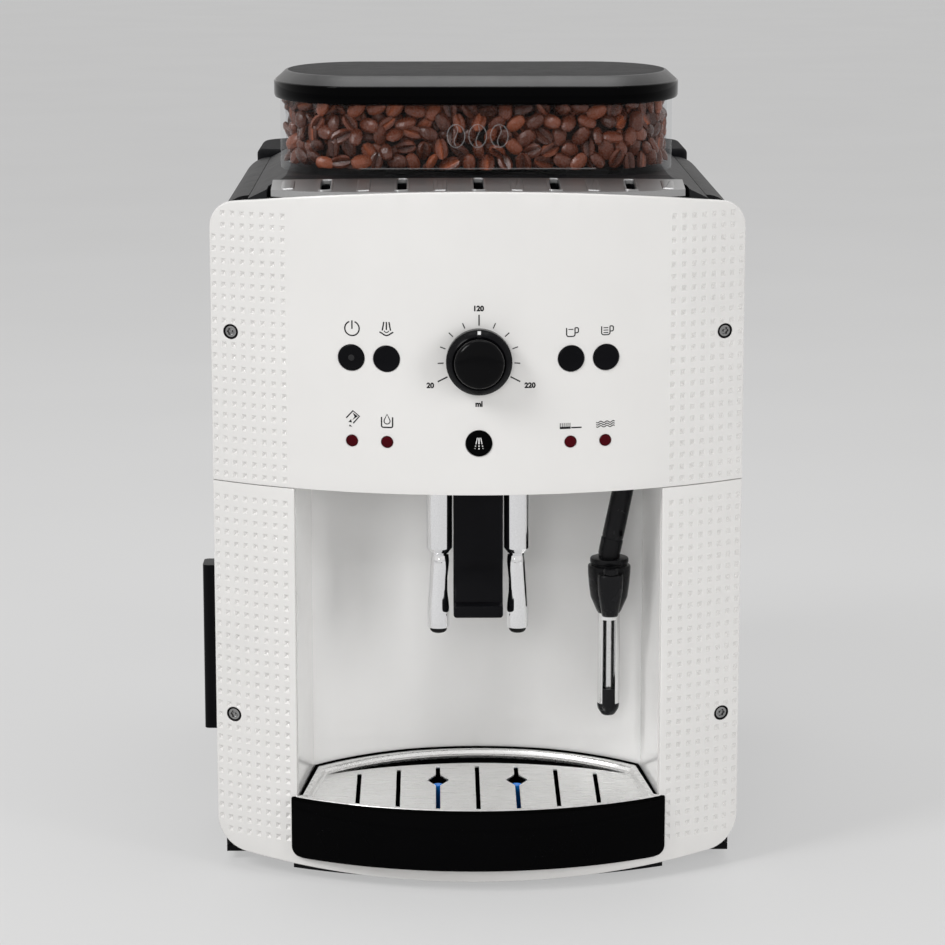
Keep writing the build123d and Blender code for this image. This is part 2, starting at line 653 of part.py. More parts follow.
def wand_nozzle():
    """Collar, round body that narrows to the sleeve, and the boss in front for the air knob."""
    at = (wand_x, wand_y)
    solid = rod(collar_radius, (collar_low, collar_high), at)
    solid += rod(nozzle_radius, (nozzle_round_low, collar_low), at)
    taper = nozzle_round_low - nozzle_low
    solid += Pos(*at, nozzle_low + taper / 2) * Cone(nozzle_tip, nozzle_radius, taper)
    solid += block((wand_x - boss_half, wand_x + boss_half), (boss_front, wand_y - nozzle_tip),
                   (nozzle_low, boss_high))
    hole_low = boss_high - air_knob_height - 2 * clear
    return solid - rod(air_pin + running, (hole_low, boss_high + over), (wand_x, air_knob_y))


def air_knob():
    """A small toothed knob on a pin."""
    at = (wand_x, air_knob_y)
    knob = rod(air_knob_radius, (boss_high + clear, boss_high + clear + air_knob_height), at)
    for index in range(air_knob_teeth):
        angle = math.tau * index / air_knob_teeth
        notch = (wand_x + air_knob_radius * math.cos(angle), air_knob_y + air_knob_radius * math.sin(angle))
        knob -= rod(air_knob_radius / 8, (boss_high, boss_high + over), notch)
    return knob + rod(air_pin, (boss_high - air_knob_height, boss_high + clear), at)


def wand_pipe():
    return rod(steam_pipe_radius, (steam_pipe_low, nozzle_low), (wand_x, wand_y))


def wand_sleeve():
    """Steel tube over the pipe, with a window in its front."""
    at = (wand_x, wand_y)
    tube = rod(sleeve_radius, (sleeve_low, nozzle_low), at)
    tube -= rod(sleeve_radius - sleeve_wall, (sleeve_low - over, nozzle_low + over), at)
    return tube - block((wand_x - sleeve_slot / 2, wand_x + sleeve_slot / 2), (wand_y - over, wand_y),
                        (slot_low, slot_high))


def wand_tip():
    at = (wand_x, wand_y)
    tip = rod(wand_tip_radius, (wand_tip_low, sleeve_low), at)
    tip = fillet(tip.edges().filter_by(GeomType.CIRCLE).sort_by(Axis.Z)[0], wand_tip_radius / 2)
    return tip - rod(steam_pipe_radius + clear, (wand_tip_low - over, sleeve_low + over), at)


# Drip tray

def tray_plan(inset=0.0):
    """The bay's plan drawn inwards, with a front that bows past the white face."""
    corner = bay_width / 2 - tray_gap
    radius = (corner**2 + tray_front_drop**2) / (2 * tray_front_drop)
    bow = Pos(0, tray_nose + radius) * Circle(radius - inset)
    return bay_plan(tray_gap + inset) & bow


def drip_tray():
    solid = rise(tray_plan(), (tray_bottom, tray_top))
    front = Pos(0, (tray_bottom + tray_top + over) / 2) * Rectangle(
        bay_width - 2 * tray_gap, tray_top + over - tray_bottom)
    front = fillet(front.vertices().sort_by(Axis.Y)[:2], tray_corner)
    solid = solid & stand(front, (tray_nose - over, bay_depth + over))
    return solid - rise(tray_plan(tray_wall), (tray_bottom + tray_floor, tray_top + over))


def drip_grid():
    """A steel plate sunk inside its own border, with seven slots and two windows for the float."""
    top = tray_top + grid_thick
    low = top - grid_sink - grid_thick
    border = rise(tray_plan(grid_edge) , (tray_top, top))
    well = grid_edge + grid_border
    solid = border + rise(tray_plan(well - grid_web), (low, tray_top))
    solid -= rise(tray_plan(well), (low + grid_thick, top + over))
    for index in range(slot_count):
        place = index - (slot_count - 1) / 2
        x = place * slot_pitch
        half = slot_half_length - slot_taper * place**2
        solid -= block((x - slot_width / 2, x + slot_width / 2), (slot_middle - half, slot_middle + half),
                       (low - over, top + over))
    for sign in (-1, 1):
        window = Rot(0, 0, 45) * Rectangle(math.sqrt(2) * float_window, math.sqrt(2) * float_window)
        solid -= rise(Pos(sign * slot_pitch, float_y) * window, (low - over, top + over))
    return solid


def tray_float():
    """A hollow bar in the tray with two posts that stand in the grid's windows."""
    low = tray_bottom + tray_floor + float_stand
    high = low + float_bar_height
    bar = block((-float_bar_half, float_bar_half), (float_y - float_bar_depth / 2,
                float_y + float_bar_depth / 2), (low, high))
    for sign in (-1, 1):
        bar += rod(float_post, (high, tray_top - grid_sink), (sign * slot_pitch, float_y))
    return bar


# Grounds drawer

def grounds_drawer():
    """Open box on the base's rails, with a plate outside the left cover and an upright grip at its front."""
    y = (drawer_y - drawer_half, drawer_y + drawer_half)
    front = -side_x - clear
    box = block((front, drawer_end), y, (drawer_low, drawer_high))
    box -= block((front + drawer_wall, drawer_end - drawer_wall), (y[0] + drawer_wall, y[1] - drawer_wall),
                 (drawer_low + drawer_wall, drawer_high + over))
    y = (drawer_y - plate_half, drawer_y + plate_half)
    plate = block((-plate_out, front), y, (plate_foot, grip_high))
    grip_back = y[0] + grip_depth
    grip = block((-grip_out, -plate_out), (y[0], grip_back), (grip_low, grip_high))
    grip = fillet(grip.edges().filter_by(Axis.Z).sort_by(Axis.X)[:2], grip_round)
    middle = -(grip_out + plate_out) / 2
    grip -= rod(finger_radius, (grip_low + finger_end, grip_high - finger_end),
                (middle, grip_back + finger_radius - finger_depth))
    return box + plate + grip


# Hopper, lid and grind knob

def lid_outline(inset=0.0):
    """A straight middle with an elliptical end at each side, drawn inwards by the inset."""
    plan = Rectangle(2 * lid_straight, lid_depth - 2 * inset)
    for sign in (-1, 1):
        end = Ellipse(lid_half - lid_straight - inset, lid_depth / 2 - inset)
        plan += Pos(sign * lid_straight, 0) * end
    return Pos(0, lid_y) * plan


def bean_hopper():
    """Clear bin with a funnel that leads to the grinder."""
    solid = rise(lid_outline(hopper_inset), (deck_top, lid_rim_low))
    solid -= rise(lid_outline(hopper_inset + hopper_wall), (deck_top + hopper_floor, lid_rim_low + over))
    height = deck_top - funnel_low
    outer = Pos(0, lid_y, funnel_low + height / 2) * Cone(funnel_throat + funnel_wall,
                                                          funnel_top + funnel_wall, height)
    inner = Pos(0, lid_y, funnel_low + height / 2) * Cone(funnel_throat, funnel_top, height)
    solid += outer
    solid -= inner
    solid -= rod(funnel_top, (deck_top, deck_top + hopper_floor), (0, lid_y))
    return solid - rod(knob_shaft + running, (deck_top - over, deck_top + over), (knob_x, lid_y))


def hopper_lid():
    """Rim, bevelled top and the plug that drops inside the hopper's wall."""
    solid = rise(lid_outline(), (lid_rim_low, lid_rim_high))
    rise_up = lid_high - lid_rim_high
    base = Plane(origin=(0, 0, lid_rim_high)) * lid_outline()
    tip = Plane(origin=(0, 0, lid_high)) * lid_outline(lid_bevel)
    solid += loft([base, tip], ruled=True)
    plug_outer = hopper_inset + hopper_wall + 2 * clear
    plug = rise(lid_outline(plug_outer), (lid_rim_low - lid_plug, lid_rim_low + lid_plug_wall))
    solid += plug
    hollow = lid_outline(plug_outer + lid_plug_wall)
    return solid - rise(hollow, (lid_rim_low - lid_plug - over, lid_rim_high - rise_up / 2))


def grind_knob():
    """Fineness knob on the hopper's floor, with a finger bar."""
    floor = deck_top + hopper_floor + clear
    at = (knob_x, lid_y)
    knob = rod(knob_radius, (floor, floor + knob_height / 2), at)
    knob += block((knob_x - knob_radius * 0.9, knob_x + knob_radius * 0.9),
                  (lid_y - knob_shaft / 2, lid_y + knob_shaft / 2), (floor, floor + knob_height))
    return knob + rod(knob_shaft, (knob_shaft_low, floor), at)


# Grinder

def gear(teeth, bore, z, at, turn=0.0):
    """A spur gear whose teeth are narrowed by the slack, so that a pair turns freely."""
    root = gear_module * (teeth / 2 - 1.25)
    tip = gear_module * (teeth / 2 + 1)
    pitch = gear_module * teeth / 2
    half = math.pi * gear_module / 4 - gear_slack
    flank = gear_module * math.tan(math.radians(20))
    tooth = make_face(Polyline((root - gear_module / 2, half + flank * 1.25), (pitch, half),
                               (tip, half - flank), (tip, flank - half), (pitch, -half),
                               (root - gear_module / 2, -half - flank * 1.25), close=True))
    outline = Circle(root)
    for index in range(teeth):
        outline += Rot(0, 0, turn + 360 * index / teeth) * tooth
    return rise(Pos(*at) * (outline - Circle(bore)), z)


gear_span = (plate_top + gear_lift, plate_top + gear_lift + gear_thick)


def burr_cone():
    """The turning burr on its shaft, which runs down through the drive gear and the chassis plate."""
    high = housing_low + housing_wall + cone_height + gear_lift
    middle = high - cone_height / 2
    cone = Pos(0, lid_y, middle) * Cone(cone_low, cone_top, cone_height)
    for index in range(12):
        turned = Rot(0, 0, 360 * index / 12)
        blade = Box(cone_low, cone_top / 8, cone_height / 4, align=(Align.MIN, Align.CENTER, Align.MAX))
        cone -= Pos(0, lid_y, high) * turned * Pos(cone_top / 2, 0, 0) * blade
    return cone + rod(cone_shaft, (plate_low, high - cone_height), (0, lid_y))


def drive_gear():
    return gear(gear_teeth, cone_shaft, gear_span, (0, lid_y))


def motor_pinion():
    turn = 180 + 360 * pinion_phase_share / pinion_teeth * (1 - pinion_teeth % 2)
    pinion = gear(pinion_teeth, motor_shaft / 2, gear_span, (motor_x, lid_y), turn)
    pinion += rod(motor_shaft / 2, gear_span, (motor_x, lid_y))
    return pinion + rod(motor_shaft, (plate_low - motor_shaft, gear_span[0]), (motor_x, lid_y))


def grinder_motor():
    body = rod(motor_radius, (plate_low - motor_length, plate_low), (motor_x, lid_y))
    hole = rod(motor_shaft + running, (plate_low - 2 * motor_shaft, plate_low + over), (motor_x, lid_y))
    flats = block((motor_x - motor_radius, motor_x + motor_radius),
                  (lid_y - motor_radius + housing_wall, lid_y + motor_radius - housing_wall),
                  (plate_low - motor_length, plate_low))
    return (body & flats) - hole


chute_x = -spout_out + chute_half + spout_wall


def grinder_housing():
    """Round case for the burrs, on feet beside the gear, with a spout for the ground coffee."""
    solid = rod(housing_radius, (housing_low, housing_high), (0, lid_y))
    solid += block((-spout_out, 0), (lid_y - spout_half - spout_wall, lid_y + spout_half + spout_wall),
                   (housing_low, housing_low + spout_height + 2 * spout_wall))
    solid -= rod(burr_outer, (housing_low + housing_wall, housing_high + over), (0, lid_y))
    solid -= block((-spout_out + spout_wall, 0), (lid_y - spout_half, lid_y + spout_half),
                   (housing_low + housing_wall, housing_low + housing_wall + spout_height))
    solid -= block((-spout_out + spout_wall, chute_x + chute_half), (lid_y - spout_half, lid_y + spout_half),
                   (housing_low - over, housing_low + housing_wall))
    solid -= rod(cone_shaft + running, (housing_low - over, housing_low + over), (0, lid_y))
    for sign in (-1, 1):
        solid += block((-post_width / 2, post_width / 2),
                       sorted((lid_y + sign * (gear_radius + 2 * gear_module),
                               lid_y + sign * (gear_radius + 2 * gear_module + post_width))),
                       (plate_top, housing_low + housing_wall))
        solid += block((-post_width / 2, post_width / 2),
                       sorted((lid_y + sign * (housing_radius - housing_wall),
                               lid_y + sign * (gear_radius + 2 * gear_module + post_width))),
                       (housing_low, housing_low + housing_wall))
    return solid


def burr_ring():
    """The fixed outer burr, held in the housing's mouth."""
    low = housing_high - burr_thick
    ring = rod(burr_outer, (low, housing_high), (0, lid_y))
    return ring - Pos(0, lid_y, low + burr_thick / 2) * Cone(burr_bore_low, burr_bore_top, burr_thick)


def coffee_chute():
    x, y = (chute_x - chute_half, chute_x + chute_half), (lid_y - chute_half, lid_y + chute_half)
    tube = block(x, y, (chute_low, housing_low))
    thin = spout_wall / 2
    return tube - block((x[0] + thin, x[1] - thin), (y[0] + thin, y[1] - thin),
                        (chute_low - over, housing_low + over))


# Brewing and water works

chute_low = brew_high + clear + head_thick
riser_x, riser_y = heater_right - pipe_drop, heater_front + pipe_drop


def brew_cylinder():
    at = (brew_x, brew_y)
    solid = rod(brew_outer, (brew_low, brew_high), at)
    solid += rod(brew_flange, (shelf_top, shelf_top + brew_flange_thick), at)
    return solid - rod(brew_bore, (brew_low - over, brew_high + over), at)


def brew_head():
    """Cap on the cylinder with the mouth for the ground coffee and two pipe holes."""
    solid = rod(brew_outer, (brew_high, chute_low), (brew_x, brew_y))
    thin = spout_wall / 2
    mouth = block((chute_x - chute_half + thin, chute_x + chute_half - thin),
                  (lid_y - chute_half + thin, lid_y + chute_half - thin),
                  (brew_high - over, chute_low + over))
    solid += block((chute_x - chute_half, chute_x + chute_half), (lid_y - chute_half, brew_y),
                   (brew_high, chute_low))
    return solid - mouth


def brew_piston():
    at = (brew_x, brew_y)
    disc = rod(brew_bore - clear, (piston_rest, piston_rest + piston_thick), at)
    return disc + rod(rod_radius, (rod_low, piston_rest), at)


def thermoblock():
    """Cast heater block with ribs across its top."""
    high = shelf_top + heater_thick
    solid = block((heater_left, heater_right), (heater_front, heater_back), (shelf_top, high))
    count = int((heater_back - heater_front) / heater_fin_pitch)
    for index in range(count):
        y = heater_front + heater_fin + index * heater_fin_pitch
        solid -= block((heater_left - over, heater_right + over), (y, y + heater_fin_pitch - heater_fin),
                       (high - heater_fin_depth, high + over))
    return solid


def pump():
    at = (pump_x, pump_height)
    body = rod_y(pump_radius, (pump_front, pump_back), at)
    neck = rod_y(pump_neck, (pump_front - pump_neck_length, pump_back + pump_neck_length), at)
    return body + neck


def suction_hose():
    """From under the tank's spigot to the back of the pump."""
    low = base_top + 2 * hose_outer
    back = pump_back + pump_neck_length
    start = dock_height - wall
    return hose([(spigot_x, spigot_y, start), (spigot_x, spigot_y, low),
                 (spigot_x, spigot_y - 2 * pipe_drop, low), (pump_x, back + 2 * pipe_drop, low),
                 (pump_x, back + pipe_drop, pump_height), (pump_x, back, pump_height)])


def pressure_pipe():
    """From the front of the pump up through the shelf to the heater."""
    front = pump_front - pump_neck_length
    run = 2 * pipe_drop
    return hose([(pump_x, front, pump_height), (pump_x, front - pipe_drop, pump_height),
                 (pump_x + pipe_drop, front - pipe_drop, pump_height + run),
                 (riser_x, front - pipe_drop / 2, pump_height + 2 * run),
                 (riser_x, riser_y, shelf_low - run), (riser_x, riser_y, shelf_top)])


def brew_pipe():
    """Hot water from the heater's side to the brew head."""
    side = shelf_top + heater_thick / 2
    y = heater_front + pipe_drop
    top = chute_low + pipe_drop
    mouth_y = brew_y + brew_outer / 2
    return hose([(heater_left, y, side), (heater_left - pipe_drop, y, side),
                 (heater_left - 3 * pipe_drop, y, top), (brew_x + pipe_drop, mouth_y, top),
                 (brew_x, mouth_y, chute_low + pipe_drop / 2), (brew_x, mouth_y, chute_low)])


def coffee_pipe():
    """From the brew head forwards and down into the slider's bore, which slides over it."""
    x = brew_x + brew_outer * 2 / 3
    top = plate_low - hose_outer - 4 * clear
    y = brew_y
    return hose([(x, y, chute_low), (x, y, top), (x + pipe_drop, y - 3 * pipe_drop, top),
                 (0, slider_bore_y, top), (0, slider_bore_y, coffee_pipe_low)], feed_bend)


def steam_pipe():
    """From the heater's front to the wand's socket."""
    x = heater_right - pipe_drop / 2
    side = shelf_top + heater_thick * 2 / 3
    return hose([(x, heater_front, side), (x, heater_front - 2 * pipe_drop, side),
                 (wand_ball_x + pipe_drop / 2, wand_y + pipe_drop, side),
                 (wand_ball_x, wand_y, socket_high + pipe_drop / 3), (wand_ball_x, wand_y, socket_high)])


# Water tank

def tank_plan(inset=0.0):
    plan = Pos(0, (tank_front + tank_back) / 2) * Rectangle(2 * (tank_half - inset),
                                                            tank_back - tank_front - 2 * inset)
    corners = plan.vertices().sort_by(Axis.Y)
    plan = fillet(corners[-2:], tank_corner - inset)
    return fillet(plan.vertices().sort_by(Axis.Y)[:2], tank_front_corner - inset)


def hinge_axis():
    """Depth and height of the lid's hinge, at the back edge of the tank."""
    return tank_back - hinge_radius, tank_top + clear + hinge_radius


def water_tank():
    """Clear tank on the dock, with two ears at its back edge that carry the hinge's pins."""
    low = dock_height + clear
    solid = rise(tank_plan(), (low, tank_top))
    solid -= rise(tank_plan(tank_wall), (low + tank_wall, tank_top + over))
    solid += rod(spigot_radius + 2 * tank_wall, (low, spigot_high + tank_wall), (spigot_x, spigot_y))
    solid -= rod(spigot_radius + clear, (low - over, spigot_high + clear), (spigot_x, spigot_y))
    axis = hinge_axis()
    for sign in (-1, 1):
        ends = sorted((sign * (ear_x - ear_half), sign * (ear_x + ear_half)))
        ear = block(ends, (tank_back - 2 * hinge_radius, tank_back), (tank_top - tank_wall, axis[1]))
        pin = rod_x(hinge_pin, (ends[0] - ear_pin_reach, ends[1] + ear_pin_reach), axis)
        solid += ear + rod_x(hinge_radius, ends, axis) + pin
    return solid


def tank_lid():
    """Glossy lid with a skirt inside the tank's wall."""
    top = tank_top + clear
    solid = rise(tank_plan(), (top, top + tank_lid_height))
    rim = solid.edges().group_by(Axis.Z)[-1]
    solid = fillet(rim, tank_lid_height / 4)
    inside = tank_wall + 2 * clear
    solid += rise(tank_plan(inside), (top - tank_lid_skirt, top))
    solid -= rise(tank_plan(inside + tank_wall), (top - tank_lid_skirt - over,
                                                  top + tank_lid_height - tank_wall))
    axis = hinge_axis()
    reach = (-tank_half - over, tank_half + over)
    under = block(reach, (axis[0], tank_back + over), (top - tank_lid_skirt - over, axis[1]))
    solid -= under - rod_x(hinge_radius, reach, axis)
    for sign in (-1, 1):
        ends = sorted((sign * (ear_x - ear_half - clear), sign * (ear_x + ear_half + clear)))
        notch = block(ends, (tank_back - 2 * hinge_radius - clear, tank_back + over),
                      (top - tank_lid_skirt - over, axis[1] + hinge_radius + clear))
        bore = rod_x(hinge_pin + running, (ends[0] - ear_pin_reach, ends[1] + ear_pin_reach), axis)
        solid -= notch + bore
    return solid


save("control_panel", control_panel())
save("lower_frame", lower_frame())
save("bay_liner", bay_liner())
save("side_cover_left", side_cover(-1))
save("side_cover_right", side_cover(1))
save("rear_cover", rear_cover())
save("top_deck", top_deck())
save("cup_grille", cup_grille())
save("base_plate", base_plate())
save("feet", *feet())
save("cord_gland", cord_gland())
save("chassis", chassis())
save("panel_screws", *[panel_screw(z, sign) for z in (screw_low, screw_high) for sign in (-1, 1)])
save("control_board", board())
save("dial_encoder", dial_encoder())
save("dial_knob", dial_knob())
save("indicator_lamps", *[lamp(at) for at in lamp_places])
for name, at in button_places.items():
    save(name, button(at))
save("outlet_slider", outlet_slider())
save("outlet_tubes", outlet_tube(-1), outlet_tube(1))
save("outlet_spouts", outlet_spout(-1), outlet_spout(1))
save("spout_tips", spout_tip(-1), spout_tip(1))
save("outlet_guide", outlet_guide())
save("wand_socket", wand_socket())
save("wand_arm", wand_arm())
save("wand_nozzle", wand_nozzle())
save("air_knob", air_knob())
save("wand_pipe", wand_pipe())
save("wand_sleeve", wand_sleeve())
save("wand_tip", wand_tip())
save("drip_tray", drip_tray())
save("drip_grid", drip_grid())
save("tray_float", tray_float())
save("grounds_drawer", grounds_drawer())
save("bean_hopper", bean_hopper())
save("hopper_lid", hopper_lid())
save("grind_knob", grind_knob())
save("grinder_housing", grinder_housing())
save("burr_ring", burr_ring())
save("burr_cone", burr_cone())
save("drive_gear", drive_gear())
save("motor_pinion", motor_pinion())
save("grinder_motor", grinder_motor())
save("coffee_chute", coffee_chute())
save("brew_cylinder", brew_cylinder())
save("brew_head", brew_head())
save("brew_piston", brew_piston())
save("thermoblock", thermoblock())
save("pump", pump())
save("suction_hose", suction_hose())
save("pressure_pipe", pressure_pipe())
save("brew_pipe", brew_pipe())
save("coffee_pipe", coffee_pipe())
save("steam_pipe", steam_pipe())
save("water_tank", water_tank())
save("tank_lid", tank_lid())
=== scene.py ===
"""Looks of a bean to cup coffee machine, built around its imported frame."""
import json
import math

import bmesh
import bpy
import numpy as np
from bpy.props import FloatProperty, FloatVectorProperty, IntProperty, PointerProperty
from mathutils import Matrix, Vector
from mathutils.geometry import delaunay_2d_cdt


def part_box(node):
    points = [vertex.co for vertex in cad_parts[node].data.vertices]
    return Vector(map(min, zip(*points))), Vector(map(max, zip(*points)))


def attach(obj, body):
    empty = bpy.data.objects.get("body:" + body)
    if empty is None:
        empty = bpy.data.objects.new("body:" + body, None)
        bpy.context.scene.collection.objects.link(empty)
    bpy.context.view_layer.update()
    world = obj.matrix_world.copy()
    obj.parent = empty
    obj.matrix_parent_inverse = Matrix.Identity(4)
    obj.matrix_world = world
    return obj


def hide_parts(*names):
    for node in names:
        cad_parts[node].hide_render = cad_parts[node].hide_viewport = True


bl_info = {
    "name": "Bean to cup coffee machine",
    "version": (1, 0, 0),
    "blender": (4, 5, 0),
    "location": "3D View > Sidebar > Machine",
    "description": "Builds the covers, controls, outlet, wand, tray and hopper of a coffee machine",
    "category": "Add Mesh",
}

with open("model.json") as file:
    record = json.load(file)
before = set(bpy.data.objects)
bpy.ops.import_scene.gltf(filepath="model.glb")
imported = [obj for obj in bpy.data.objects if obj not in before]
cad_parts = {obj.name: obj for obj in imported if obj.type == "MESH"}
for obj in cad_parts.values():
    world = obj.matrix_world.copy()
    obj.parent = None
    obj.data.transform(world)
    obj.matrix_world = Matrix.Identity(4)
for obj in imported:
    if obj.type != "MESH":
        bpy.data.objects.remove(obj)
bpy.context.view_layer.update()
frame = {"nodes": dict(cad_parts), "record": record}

# Lengths below are in millimetres. X = 0 is the middle of the front, Y = 0 its nose, Z = 0 the table.
MM = 0.001
panel_low, panel_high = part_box("control_panel")
ORIGIN = np.array([(panel_low.x + panel_high.x) / 2, panel_low.y, 0.0])
FACE_RADIUS = 207.5                     # bow of the front
FACE_WALL = 3.0                         # thickness of the front


def span(node):
    """Lowest and highest corner of a CAD node, from the machine's own origin."""
    low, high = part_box(node)
    return (np.array(low) - ORIGIN) / MM, (np.array(high) - ORIGIN) / MM


def face_y(x, radius=FACE_RADIUS):
    """Depth of the bowed front: the circle of the face's radius, whose nose is at zero."""
    return FACE_RADIUS - np.sqrt(radius**2 - np.asarray(x, float) ** 2)


# Settings that a user would change

class FrontSettings(bpy.types.PropertyGroup):
    """Dimples, edges and colour of the front"""
    dimple_pitch: FloatProperty(name="Dimple pitch", description="Distance between dimples, in millimetres",
                                default=5.345, min=3.0, max=12.0)
    dimple_size: FloatProperty(name="Dimple size", description="Width of a square dimple, in millimetres",
                               default=2.7, min=0.5, max=3.0)
    dimple_depth: FloatProperty(name="Dimple depth", description="Depth of a dimple, in millimetres",
                                default=1.1, min=0.1, max=2.0)
    rim: FloatProperty(name="Rim", description="Rounding of the outer edges, in millimetres",
                       default=0.8, min=0.2, max=3.0)
    colour: FloatVectorProperty(name="Colour", description="Gloss plastic of the front", subtype="COLOR",
                                size=3, min=0.0, max=1.0, default=(0.78, 0.77, 0.755))


class HopperSettings(bpy.types.PropertyGroup):
    """Beans in the hopper"""
    beans: IntProperty(name="Beans", description="Most coffee beans that the hopper holds", default=900,
                       min=1, max=1500)
    bean_length: FloatProperty(name="Bean length", description="Length of a bean, in millimetres",
                               default=10.2, min=5.0, max=15.0)
    roast: FloatVectorProperty(name="Roast", description="Colour of the beans", subtype="COLOR", size=3,
                               min=0.0, max=1.0, default=(0.13, 0.034, 0.016))


class DialSettings(bpy.types.PropertyGroup):
    """Printed scale of the dial"""
    ticks: IntProperty(name="Ticks", description="Marks around the volume dial", default=11, min=3, max=31)
    sweep: FloatProperty(name="Sweep", description="Angle from the first mark to the last",
                         subtype="ANGLE", default=math.radians(234.8), min=1.0, max=6.2)
    print_colour: FloatVectorProperty(name="Print", description="Colour of the printed marks",
                                      subtype="COLOR", size=3, min=0.0, max=1.0,
                                      default=(0.012, 0.012, 0.013))


class StageSettings(bpy.types.PropertyGroup):
    """Light and floor"""
    key_power: FloatProperty(name="Key light", description="Power of the large key light, in watts",
                             default=25.0, min=0.0, max=500.0)
    floor_colour: FloatVectorProperty(name="Floor", description="Colour of the floor", subtype="COLOR",
                                      size=3, min=0.0, max=1.0, default=(0.66, 0.66, 0.66))


# Finishes

def new_finish(name):
    """An empty material with its surface shader, output and Object coordinates."""
    material = bpy.data.materials.new(name)
    material.use_nodes = True
    tree = material.node_tree
    tree.nodes.clear()
    shader = tree.nodes.new("ShaderNodeBsdfPrincipled")
    output = tree.nodes.new("ShaderNodeOutputMaterial")
    place = tree.nodes.new("ShaderNodeTexCoord")
    tree.links.new(shader.outputs[0], output.inputs["Surface"])
    return material, tree, shader, place.outputs["Object"]


def noise(tree, place, size, detail=2.0, roughness=0.5):
    """Noise whose grains are about as wide as the size in millimetres."""
    node = tree.nodes.new("ShaderNodeTexNoise")
    node.inputs["Scale"].default_value = 1.0 / (size * MM)
    node.inputs["Detail"].default_value = detail
    node.inputs["Roughness"].default_value = roughness
    tree.links.new(place, node.inputs["Vector"])
    return node.outputs["Fac"]


def ramp(tree, value, stops):
    """Colour or grey picked by a value between stops of (place, colour)."""
    node = tree.nodes.new("ShaderNodeValToRGB")
    elements = node.color_ramp.elements
    while len(elements) < len(stops):
        elements.new(0.5)
    for element, (where, colour) in zip(elements, stops):
        element.position = where
        element.color = (*colour, 1.0) if len(colour) == 3 else colour
    tree.links.new(value, node.inputs["Fac"])
    return node.outputs["Color"]


def between(tree, value, low, high):
    """Spread a value from nought to one over a range."""
    node = tree.nodes.new("ShaderNodeMapRange")
    node.inputs["To Min"].default_value = low
    node.inputs["To Max"].default_value = high
    tree.links.new(value, node.inputs["Value"])
    return node.outputs["Result"]


def bump(tree, shader, height, depth):
    """Raise the surface by a height pattern, with the depth in millimetres."""
    node = tree.nodes.new("ShaderNodeBump")
    node.inputs["Distance"].default_value = depth * MM
    tree.links.new(height, node.inputs["Height"])
    tree.links.new(node.outputs["Normal"], shader.inputs["Normal"])


def tinted(colour, amount):
    """A darker and a lighter neighbour of a colour."""
    darker = tuple(max(0.0, c * (1 - amount)) for c in colour)
    lighter = tuple(min(1.0, c * (1 + amount)) for c in colour)
    return darker, lighter


def plastic(name, colour, roughness, grain=0.6, depth=0.0, coat=0.0, spread=0.04, wear=0.06, shine=0.5):
    """Moulded plastic: clouded colour, uneven gloss and, with a depth, a sparked texture."""
    material, tree, shader, place = new_finish(name)
    shader.inputs["Specular IOR Level"].default_value = shine
    dark, light = tinted(colour, spread)
    cloud = noise(tree, place, 35.0, 3.0)
    tree.links.new(ramp(tree, cloud, [(0.3, dark), (0.7, light)]), shader.inputs["Base Color"])
    gloss = between(tree, noise(tree, place, 9.0, 4.0), max(0.02, roughness - wear), roughness + wear)
    tree.links.new(gloss, shader.inputs["Roughness"])
    shader.inputs["Coat Weight"].default_value = coat
    shader.inputs["Coat Roughness"].default_value = 0.05
    if depth:
        bump(tree, shader, noise(tree, place, grain, 4.0, 0.65), depth)
    return material


def metal(name, colour, roughness, stretch=None, depth=0.0, anisotropy=0.0):
    """Metal with small changes of gloss, drawn out into fine lines along an axis where it is stretched."""
    material, tree, shader, place = new_finish(name)
    shader.inputs["Metallic"].default_value = 1.0
    shader.inputs["Anisotropic"].default_value = anisotropy
    if stretch:
        mapping = tree.nodes.new("ShaderNodeMapping")
        mapping.inputs["Scale"].default_value = stretch
        tree.links.new(place, mapping.inputs["Vector"])
        place = mapping.outputs["Vector"]
    dark, light = tinted(colour, 0.05)
    lines = noise(tree, place, 0.5, 3.0)
    tree.links.new(ramp(tree, lines, [(0.3, dark), (0.7, light)]), shader.inputs["Base Color"])
    gloss = between(tree, lines, max(0.02, roughness * 0.8), roughness * 1.2)
    tree.links.new(gloss, shader.inputs["Roughness"])
    if depth:
        bump(tree, shader, lines, depth)
    return material


def mixed(tree, mix, first, second):
    """Send a mix of two shaders to the material's output."""
    output = next(n for n in tree.nodes if n.type == "OUTPUT_MATERIAL")
    tree.links.new(first.outputs[0], mix.inputs[1])
    tree.links.new(second.outputs[0], mix.inputs[2])
    tree.links.new(mix.outputs[0], output.inputs["Surface"])


